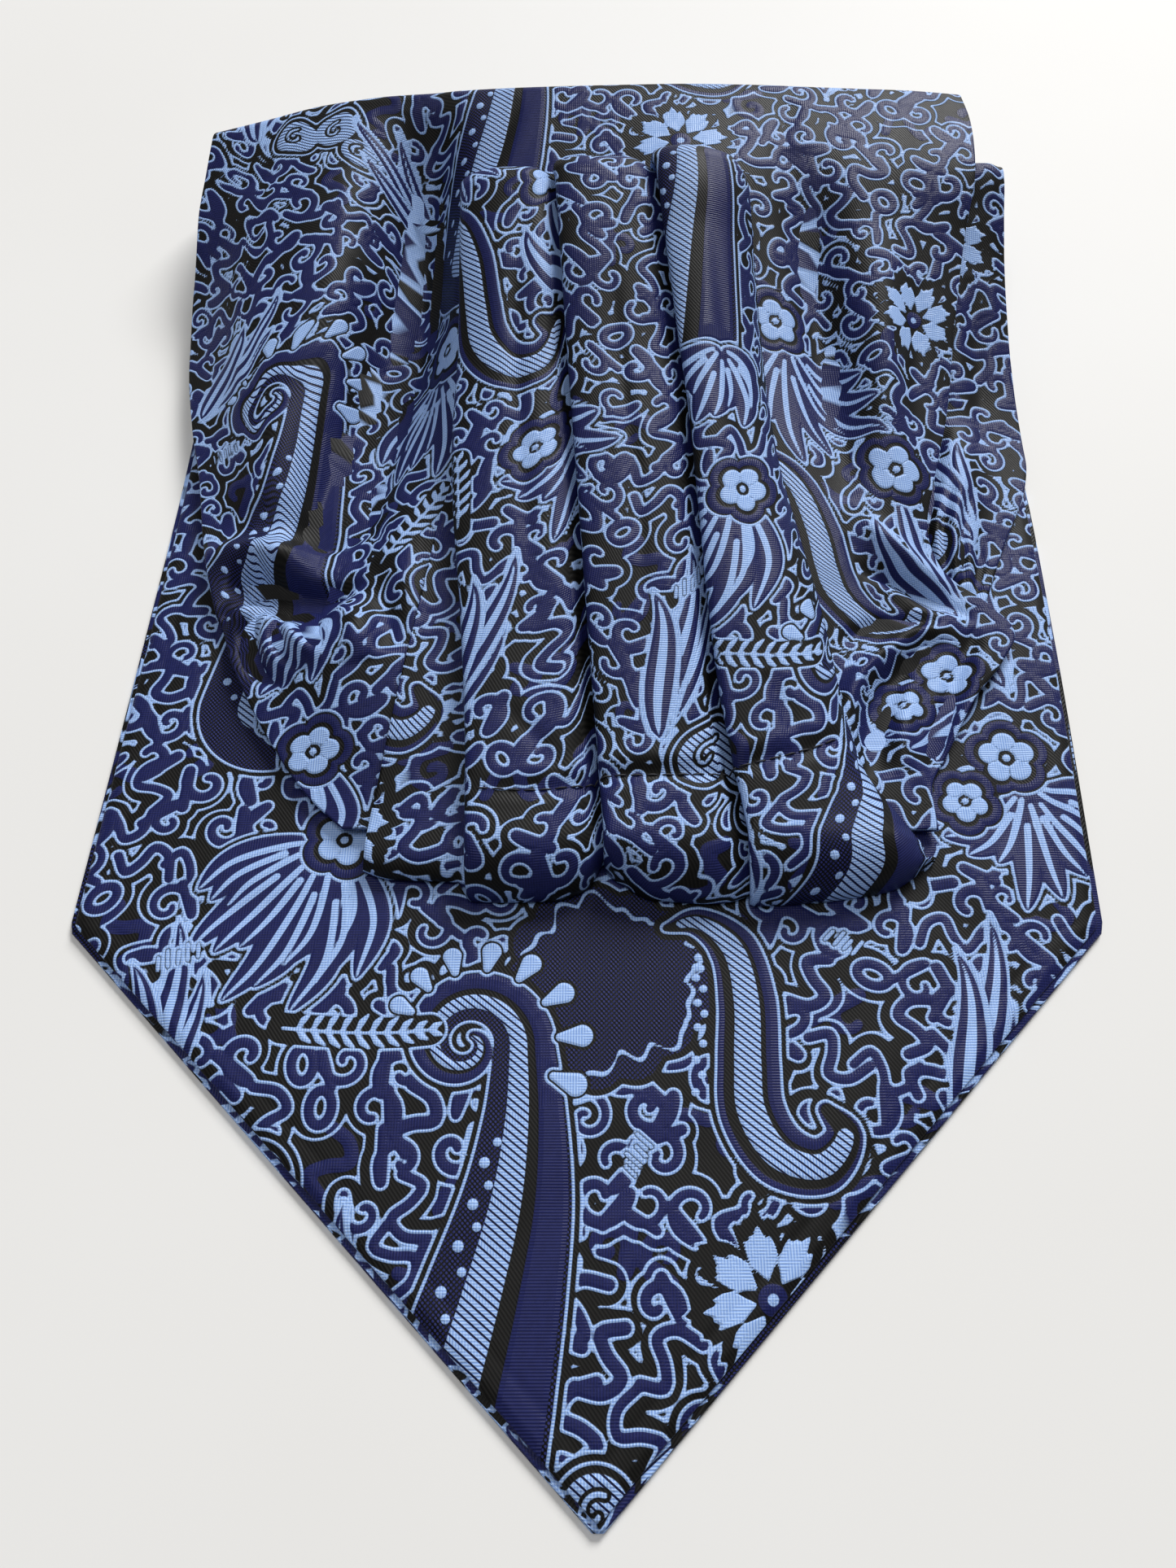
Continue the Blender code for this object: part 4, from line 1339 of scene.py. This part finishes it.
def inner_stretch():
    rows_flat, rows_fold, cols = 24 * BLOCK, 3 * BLOCK, 7 * BLOCK + 1
    ys = np.linspace(INNER_NEAR, INNER_CREST, rows_flat + 1)
    right = through(column(INNER_EDGE, 0), column(INNER_EDGE, 1), ys)
    left = np.minimum(INNER_LEFT + 4 * smoothstep(160, 125, ys), right - 10)
    x = left[:, None] + (right - left)[:, None] * np.linspace(0, 1, cols)
    y = np.repeat(ys[:, None], cols, axis=1)
    z = inner_top(x.ravel(), y.ravel()).reshape(x.shape)
    flat = np.stack([x, y, z], axis=-1)
    crest = flat[-1]
    half = (crest[:, 2] - 3.6) / 2
    fold = []
    for k in range(1, rows_fold + 1):
        a = math.radians(155 * k / rows_fold)
        fold.append(np.stack([crest[:, 0], INNER_CREST + INNER_DEPTH * math.sin(a) + 0 * half,
                              3.6 + half + half * math.cos(a)], axis=-1))
    face = np.concatenate([flat, np.array(fold)])
    u = travelled(face, 1, cols - 1) + face[:, -1, 0][:, None] + 2.0
    v = travelled(face, 0, 0) + INNER_NEAR - 30.0
    steps = [[(1, 1)] * ((cols - 1) // BLOCK) for _ in range((rows_flat + rows_fold) // BLOCK)]
    return shell("inner_stretch_silk", face, u, v, INNER_SHELL, steps, silk, inner_cols=8)


inner = inner_stretch()


# %% [markdown]
# ## The pleated band
# The band is one strip laid in knife pleats, all facing the same way. Each pleat's face
# runs right and down under the next, where the cloth turns back and turns over again.
# A section across the band is drawn as one winding line, and the sections follow the
# band from its far roll to its near roll.

# %% Pleat sections
PLEAT_WALL = 1.2
PLEAT_GAP = 1.20
PLEAT_DEPTH = 5.0
PLEAT_EDGE = 0.8
EDGE_RADIUS = 0.8
PLEAT_TUCK = 0.4
FACE_SHARES = (0.07, 0.2, 0.38, 0.58, 0.76, 0.88)
BAND_REST = 0.5
BAND_SHELL = 0.8
NEAR_ROLL_Y = 78.0
NEAR_ROLL = 1.7
FAR_ROLL_Y = 201.0
FAR_ROLL = 3.0
PLEATS = (
    # y,    flank, fold_a, fold_b, fold_c, right, crown
    (206.0, -22.2, -23.4, -6.0, 12.1, 29.3, 1.7),
    (190.0, -22.0, -23.2, -5.0, 13.6, 30.4, 1.9),
    (172.0, -21.8, -22.9, -3.8, 15.6, 31.6, 2.0),
    (152.0, -22.6, -23.2, -2.4, 17.6, 33.2, 2.0),
    (136.0, -25.6, -22.4, -1.3, 18.6, 35.8, 1.9),
    (118.0, -28.0, -20.6, -0.1, 19.6, 39.2, 1.7),
    (101.0, -30.6, -19.2, 1.1, 21.0, 41.4, 1.5),
    (91.0, -32.2, -18.6, 1.8, 22.4, 43.4, 1.3),
    (82.0, -33.6, -18.3, 2.4, 23.8, 48.5, 1.1),
    (74.0, -34.4, -18.0, 2.9, 24.8, 53.5, 1.0),
)
BAND_OFFSET = (30.0, 6.0)
BAND_ROWS = 34
CROWN_SHARE = 0.55
HEM_SHARE = 0.35
HEM_HEIGHT = 4.0


def turn_at(x, low, high, side):
    """A half turn of the cloth's middle line between two layers, at x."""
    radius = (high - low) / 2
    return [(x + side * radius * math.sin(a), low + radius - radius * math.cos(a))
            for a in np.radians((30, 90, 150))]


def pleat_line(flank, folds, right, crown):
    """Middle line of the pleated cloth across the band, and which stretches show."""
    pitch = PLEAT_WALL + PLEAT_GAP
    low = PLEAT_WALL / 2
    line = [(flank, low), (flank + (folds[0] + PLEAT_DEPTH - flank) * 0.4, low + 0.15)]
    shows = [True, True]
    for k, fold in enumerate(folds):
        far = folds[k + 1] if k + 1 < len(folds) else right
        width = far - fold
        top = low + 2 * pitch
        under = top - 2 * EDGE_RADIUS
        hidden = [(fold + PLEAT_DEPTH, low)]
        hidden += turn_at(fold + PLEAT_DEPTH, low, low + pitch, 1)
        hidden += [(fold + PLEAT_DEPTH * 0.5, (low + pitch + under) / 2), (fold + PLEAT_EDGE, under)]
        edge = turn_at(fold + PLEAT_EDGE, under, top, -1)
        face = []
        for share in FACE_SHARES:
            fall = (top - low) * (0.40 * share + 0.45 * float(smoothstep(0.78, 1.0, share)))
            swell = crown * math.sin(math.pi * share**0.7)
            face.append((fold + PLEAT_EDGE + (width - PLEAT_EDGE) * share, top - fall + swell))
        tuck = PLEAT_TUCK if k + 1 < len(folds) else -PLEAT_TUCK
        face.append((far + tuck, low + 0.15))
        line += hidden + edge + face
        shows += [False] * len(hidden) + [True] * (len(edge) + len(face))
    line.append((right, low))
    shows.append(True)
    return np.array(line), shows


def refine(line, counts):
    """A smooth line through the points, with its own number of steps in each stretch."""
    padded = np.vstack([2 * line[0] - line[1], line, 2 * line[-1] - line[-2]])
    fine = []
    for k, count in enumerate(counts):
        a, b, c, d = padded[k:k + 4]
        t = np.linspace(0, 1, count, endpoint=False)[:, None]
        fine.append(0.5 * (2 * b + (c - a) * t + (2 * a - 5 * b + 4 * c - d) * t**2
                           + (3 * b - a - 3 * c + d) * t**3))
    return np.vstack(fine + [line[-1:]])


def band_counts():
    """Steps for each stretch of the section: the most that any of the rows needs."""
    gaps = 0.0
    for row in PLEATS:
        line, shows = pleat_line(row[1], row[2:5], row[5], row[6])
        gaps = np.maximum(gaps, np.linalg.norm(np.diff(line, axis=0), axis=1))
    counts = [max(2, round(gap / BAND_STEP)) if shows[k] and shows[k + 1] else 2
              for k, gap in enumerate(gaps)]
    counts[1] += -sum(counts) % BLOCK
    return counts


BAND_STEP = 0.52
BAND_COUNTS = band_counts()


def section(y):
    """The band's section at y: fine middle line and the way up at each point."""
    ys = column(PLEATS, 0)[::-1]
    values = [through(ys, column(PLEATS, k)[::-1], y)[0] for k in range(1, 7)]
    line, shows = pleat_line(values[0], values[1:4], values[4], values[5] * CROWN_SHARE)
    fine = refine(line, BAND_COUNTS)
    way = np.gradient(fine, axis=0)
    way = way / np.linalg.norm(way, axis=1)[:, None]
    return fine, np.stack([-way[:, 1], way[:, 0]], axis=1)


# %% Band cloth
BAND_CREASES = (
    # depth, width, line
    (0.5, 1.6, ((-12, 196), (-13, 170), (-11, 140), (-9, 112))),
    (0.5, 1.5, ((3, 192), (5, 165), (8, 135), (9, 104))),
    (0.45, 1.6, ((22, 190), (24, 165), (27, 138), (30, 110))),
    (0.9, 1.5, ((-20, 84), (-8, 84.6), (3, 86.6), (14, 87.4), (24, 88.6), (34, 91.5), (43, 96))),
    (0.5, 1.6, ((-14, 99), (-8, 93), (-4, 87))),
    (0.5, 1.6, ((28, 104), (31, 97), (33, 92))),
    (-0.5, 2.0, ((-26, 118), (-27, 104), (-28, 92))),
)
NEAR_HEM = (
    # x,    reach of the near roll toward the viewer
    (-36.0, -1.5),
    (-30.0, 0.2),
    (-20.0, 0.6),
    (-18.0, 2.0),
    (-6.0, 2.2),
    (0.0, 0.6),
    (2.6, -2.6),
    (4.4, -1.4),
    (10.0, 1.8),
    (22.0, 2.8),
    (36.0, 2.0),
    (46.0, 0.6),
    (53.0, -3.0),
)


def band_rest(x, y):
    """Height of the band's underside, lifted clear of the panel at its far roll."""
    lift = FAR_ROLL * smoothstep(160.0, FAR_ROLL_Y - 4, y)
    beyond = y + 8.0 * smoothstep(186.0, FAR_ROLL_Y, y)
    return panel_top(x, beyond) + BAND_REST + lift


def neckband():
    stations = []
    for angle in np.linspace(90, 5, 17):
        stations.append(("far", math.radians(angle), FAR_ROLL_Y))
    for y in np.linspace(FAR_ROLL_Y, NEAR_ROLL_Y, BAND_ROWS * BLOCK - 40):
        stations.append(("flat", 0.0, y))
    for angle in np.linspace(4, 96, 24):
        stations.append(("near", math.radians(angle), NEAR_ROLL_Y))
    outer, inner = [], []
    for kind, a, y in stations:
        if kind == "far":
            fine, up = section(206.0)
        elif kind == "near":
            fine, up = section(74.0 + 4 * math.cos(a))
        else:
            fine, up = section(y)
        base = band_rest(fine[:, 0], max(y, PANEL_NEAR))
        place = np.full(len(fine), y)
        base = base + creases(fine[:, 0], place, BAND_CREASES) * (fine[:, 1] > 3.0)
        for side, keep in ((1, outer), (-1, inner)):
            at = fine + up * side * BAND_SHELL / 2
            x, h = at[:, 0], at[:, 1]
            if kind == "flat":
                keep.append(np.stack([x, place, base + h], 1))
            elif kind == "far":
                d = FAR_ROLL + h
                even = (h - fine[:, 1]) + HEM_SHARE * fine[:, 1] + (1 - HEM_SHARE) * HEM_HEIGHT
                keep.append(np.stack([x, y + (FAR_ROLL + even) * math.sin(a),
                                      base - FAR_ROLL + d * math.cos(a)], 1))
            else:
                d = NEAR_ROLL + h
                even = (h - fine[:, 1]) + HEM_SHARE * fine[:, 1] + (1 - HEM_SHARE) * HEM_HEIGHT
                reach = through(column(NEAR_HEM, 0), column(NEAR_HEM, 1), x) * math.sin(a) ** 2
                keep.append(np.stack([x, y - (NEAR_ROLL + even) * math.sin(a) - reach,
                                      base - NEAR_ROLL + d * math.cos(a)], 1))
    outer, inner = np.array(outer)[::-1], np.array(inner)[::-1]
    u = travelled(outer, 1, 0) + BAND_OFFSET[0]
    v = travelled(outer, 0, 0) + BAND_OFFSET[1]
    ring = np.concatenate([outer, inner[:, ::-1]], axis=1)
    ring_u = np.concatenate([u, u[:, ::-1]], axis=1)
    ring_v = np.concatenate([v, v[:, ::-1]], axis=1)
    around, cols = ring.shape[1], outer.shape[1]
    rows = len(ring)
    row_cuts = cuts(rows - 1)
    col_cuts = cuts(cols - 1) + [cols] + [cols + k for k in range(BLOCK, cols, BLOCK)] + [around]
    steps = []
    for a in range(len(row_cuts) - 1):
        dense = [(1, 1)] * ((cols - 1) // BLOCK)
        back = [(BLOCK, 1)] * ((cols - 1) // BLOCK)
        steps.append(dense + [(1, 1)] + back + [(1, 1)])
    faces = patchwork(row_cuts, col_cuts, steps, around)
    made = cloth_object("neckband_silk", ring.reshape(-1, 3), faces, ring_u.ravel(), ring_v.ravel(), silk)
    return made, outer


band_piece, band_face = neckband()


# %% [markdown]
# ## The hidden layers
# The second blade and the rest of the strip lie folded inside. Only their edges can be
# seen from the sides, so they are one rounded form whose sides show a stack of folded
# edges, each a soft half round.

# %% Hidden layers
HIDDEN_EDGES = (
    # y,    left,  right
    (93.0, -34.0, 36.0),
    (98.0, -40.0, 38.0),
    (110.0, -45.5, 41.0),
    (124.0, -41.5, 46.0),
    (138.0, -43.5, 51.0),
    (150.0, -60.0, 54.0),
    (158.0, -63.0, 57.0),
    (168.0, -65.0, 60.0),
    (177.0, -67.0, 68.0),
    (184.0, -68.5, 79.0),
    (192.0, -70.0, 80.4),
    (205.0, -72.5, 80.8),
    (211.5, -73.5, 80.6),
    (214.5, -74.0, 48.4),
    (222.4, -74.2, 48.6),
    (223.4, -74.2, 71.6),
    (229.0, -74.2, 71.8),
    (236.8, -72.6, 70.2),
)
WALL = 1.3
SEAM = 0.35
HIDDEN_FOOT = 2.45
LAYERS = 5
LAYER_BULGE = 1.1
FOLD_INSIDE = CREST_DEPTH - WALL - 0.6


def under_side(surface, x, y):
    """The lowest that the wall below surface comes within a few millimetres of (x, y)."""
    lowest = np.full(x.shape, 1e3)
    for dx, dy in ((0, 0), (2.4, 0), (-2.4, 0), (0, 3.0), (0, -3.0)):
        here = surface(x + dx, y + dy)
        gx = surface(x + dx + 0.5, y + dy) - surface(x + dx - 0.5, y + dy)
        gy = surface(x + dx, y + dy + 0.5) - surface(x + dx, y + dy - 0.5)
        lowest = np.minimum(lowest, here - WALL * np.sqrt(1 + gx * gx + gy * gy))
    return lowest


def hidden_top(x, y):
    """The hidden layers' upper face, just clear of what lies on them."""
    y = np.broadcast_to(np.asarray(y, float), x.shape)
    roof = np.minimum(under_side(panel_top, x, y), panel_face(x, y) - PANEL_SHELL) - SEAM
    inner_roof = np.minimum(under_side(inner_top, x, y) - SEAM, roof)
    at_inner = smoothstep(45.0, 49.5, x) * smoothstep(141.0, 148.0, y)
    return roof + (inner_roof - roof) * at_inner


def hidden_layers():
    ys = column(HIDDEN_EDGES, 0)
    stations = sorted(set(np.linspace(93, 232.5, 80).round(1)) | {211.5, 214.5, 222.4, 223.4})
    stations += [CREST_Y + k for k in (0.0, 1.2, 2.2, 3.0, 3.5, 3.9)]
    bulges = np.linspace(0, 1, 6 * LAYERS + 1)[1:-1]
    out = LAYER_BULGE * np.abs(np.sin(math.pi * LAYERS * bulges)) ** 0.6 - 0.55
    rings = []
    lefts = through(ys, column(HIDDEN_EDGES, 1), stations)
    rights = through(ys, column(HIDDEN_EDGES, 2), stations)
    grid = np.linspace(lefts, rights, 49, axis=1)
    tops = hidden_top(grid.ravel(), np.repeat(stations, 49)).reshape(grid.shape)
    for y, left, right, xs, roof in zip(stations, lefts, rights, grid, tops):
        top = np.maximum(roof, HIDDEN_FOOT + 0.3)
        base = np.full(xs.shape, HIDDEN_FOOT)
        if y >= CREST_Y:
            share = math.sqrt(max(0.0, 1 - ((y - CREST_Y) / FOLD_INSIDE) ** 2))
            middle = panel_top(xs, CREST_Y) / 2
            top = middle + (middle - WALL - 0.8) * share
            base = np.maximum(middle - (middle - WALL - 0.8) * share, HIDDEN_FOOT)
        rise = np.linspace(0, 1, len(bulges) + 2)[1:-1]
        lean = 0.5 * np.sin(y / 15.0 + 5 * rise)
        tall = min(1.0, (top[-1] - base[-1]) / 6.0)
        ring = [(x, y, z) for x, z in zip(xs[::-2], base[::-2])][::-1]
        ring += [(right + (o + s) * tall, y, base[-1] + (top[-1] - base[-1]) * b)
                 for o, s, b in zip(out, lean, bulges)]
        ring += [(x, y, z) for x, z in zip(xs[::-1], top[::-1])]
        tall = min(1.0, (top[0] - base[0]) / 6.0)
        ring += [(left - (o + s) * tall, y, base[0] + (top[0] - base[0]) * b)
                 for o, s, b in zip(out[::-1], lean[::-1], bulges[::-1])]
        rings.append(ring)
    ring = np.array(rings)
    rows, around = ring.shape[:2]
    r, c = np.meshgrid(np.arange(rows - 1), np.arange(around), indexing="ij")
    r, c = r.ravel(), c.ravel()
    d = (c + 1) % around
    quads = np.stack([r * around + c, (r + 1) * around + c, (r + 1) * around + d, r * around + d], 1)
    faces = quads[:, ::-1].tolist()
    faces.append(list(range(around))[::-1])
    faces.append([(rows - 1) * around + k for k in range(around)])
    u = travelled(ring, 1, 0) - 40.0
    v = travelled(ring, 0, 0) + 60.0
    return cloth_object("hidden_layers_silk", ring.reshape(-1, 3), faces, u.ravel(), v.ravel(), silk)


layers = hidden_layers()


# %% [markdown]
# ## The stitched line
# The pleats are held by one line of stitching near their near end. Each stitch is a
# short dark thread that dips into the cloth at both ends.

# %% Stitches across the pleats
STITCH_LENGTH = 1.9
STITCH_GAP = 0.5
THREAD_RADIUS = 0.14
STITCH_LINE = ((-17.0, 84.5), (-8.0, 84.6), (2.0, 86.6), (3.5, 86.8), (14.0, 87.4), (24.0, 88.6),
               (34.0, 91.5), (40.0, 94.5))


def band_height(x, y):
    """Height of the band's upper face at x, y."""
    row = band_face[np.abs(band_face[:, 0, 1] - y).argmin()]
    near = np.abs(row[:, 0] - x) < 0.5
    return row[near][:, 2].max()


def stitches():
    route = curve(STITCH_LINE, step=0.25)
    length = np.concatenate([[0], np.cumsum(np.linalg.norm(np.diff(route, axis=0), axis=1))])
    points, faces = [], []
    sides = 6
    start = 0.0
    while start + STITCH_LENGTH < length[-1]:
        at = np.linspace(start, start + STITCH_LENGTH, 6)
        x, y = np.interp(at, length, route[:, 0]), np.interp(at, length, route[:, 1])
        z = np.array([band_height(a, b) for a, b in zip(x, y)])
        z = z + THREAD_RADIUS * np.array((-1.2, 0.3, 0.9, 0.9, 0.3, -1.2))
        line = np.stack([x, y, z], 1)
        along = unit(np.gradient(line, axis=0))
        side = unit(np.cross(along, (0, 0, 1)))
        up = np.cross(side, along)
        first = len(points)
        for p, s, h in zip(line, side, up):
            for k in range(sides):
                a = 2 * math.pi * k / sides
                points.append(p + THREAD_RADIUS * (s * math.cos(a) + h * math.sin(a)))
        for r in range(len(line) - 1):
            for k in range(sides):
                m = (k + 1) % sides
                low, high = first + r * sides, first + (r + 1) * sides
                faces.append((low + k, low + m, high + m, high + k))
        faces.append([first + k for k in range(sides)][::-1])
        faces.append([first + (len(line) - 1) * sides + k for k in range(sides)])
        start += STITCH_LENGTH + STITCH_GAP
    mesh = bpy.data.meshes.new("pleat_stitches")
    mesh.from_pydata(to_world(points).tolist(), [], faces)
    mesh.shade_smooth()
    made = bpy.data.objects.new("pleat_stitches", mesh)
    bpy.context.scene.collection.objects.link(made)
    thread, tree, shader = blank_material("dark_thread")
    where = Value(tree, None).node("ShaderNodeTexCoord", output="Object")
    twist = where.node("ShaderNodeTexNoise", Vector=where, Scale=2500.0, Detail=2.0)
    tree.links.new(twist.over(colour(12, 12, 16), colour(34, 34, 46)).socket, shader.inputs["Base Color"])
    shader.inputs["Roughness"].default_value = 0.6
    mesh.materials.append(thread)
    print("stitches:", len(points) // (6 * sides))
    return made


pleat_stitches = stitches()


# %% [markdown]
# ## Which solid each piece stands for
# Each cloth piece takes the place of one solid of the model, which stays behind it for
# contact and weight.

# %% Ride and replace
def dress(piece, node):
    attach(piece, "root")
    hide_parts(node)


dress(blade, "front_blade")
dress(blade_facing, "front_blade")
dress(panel, "return_panel")
dress(inner, "under_fold")
dress(band_piece, "neckband")
dress(layers, "hidden_layers")
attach(pleat_stitches, "root")
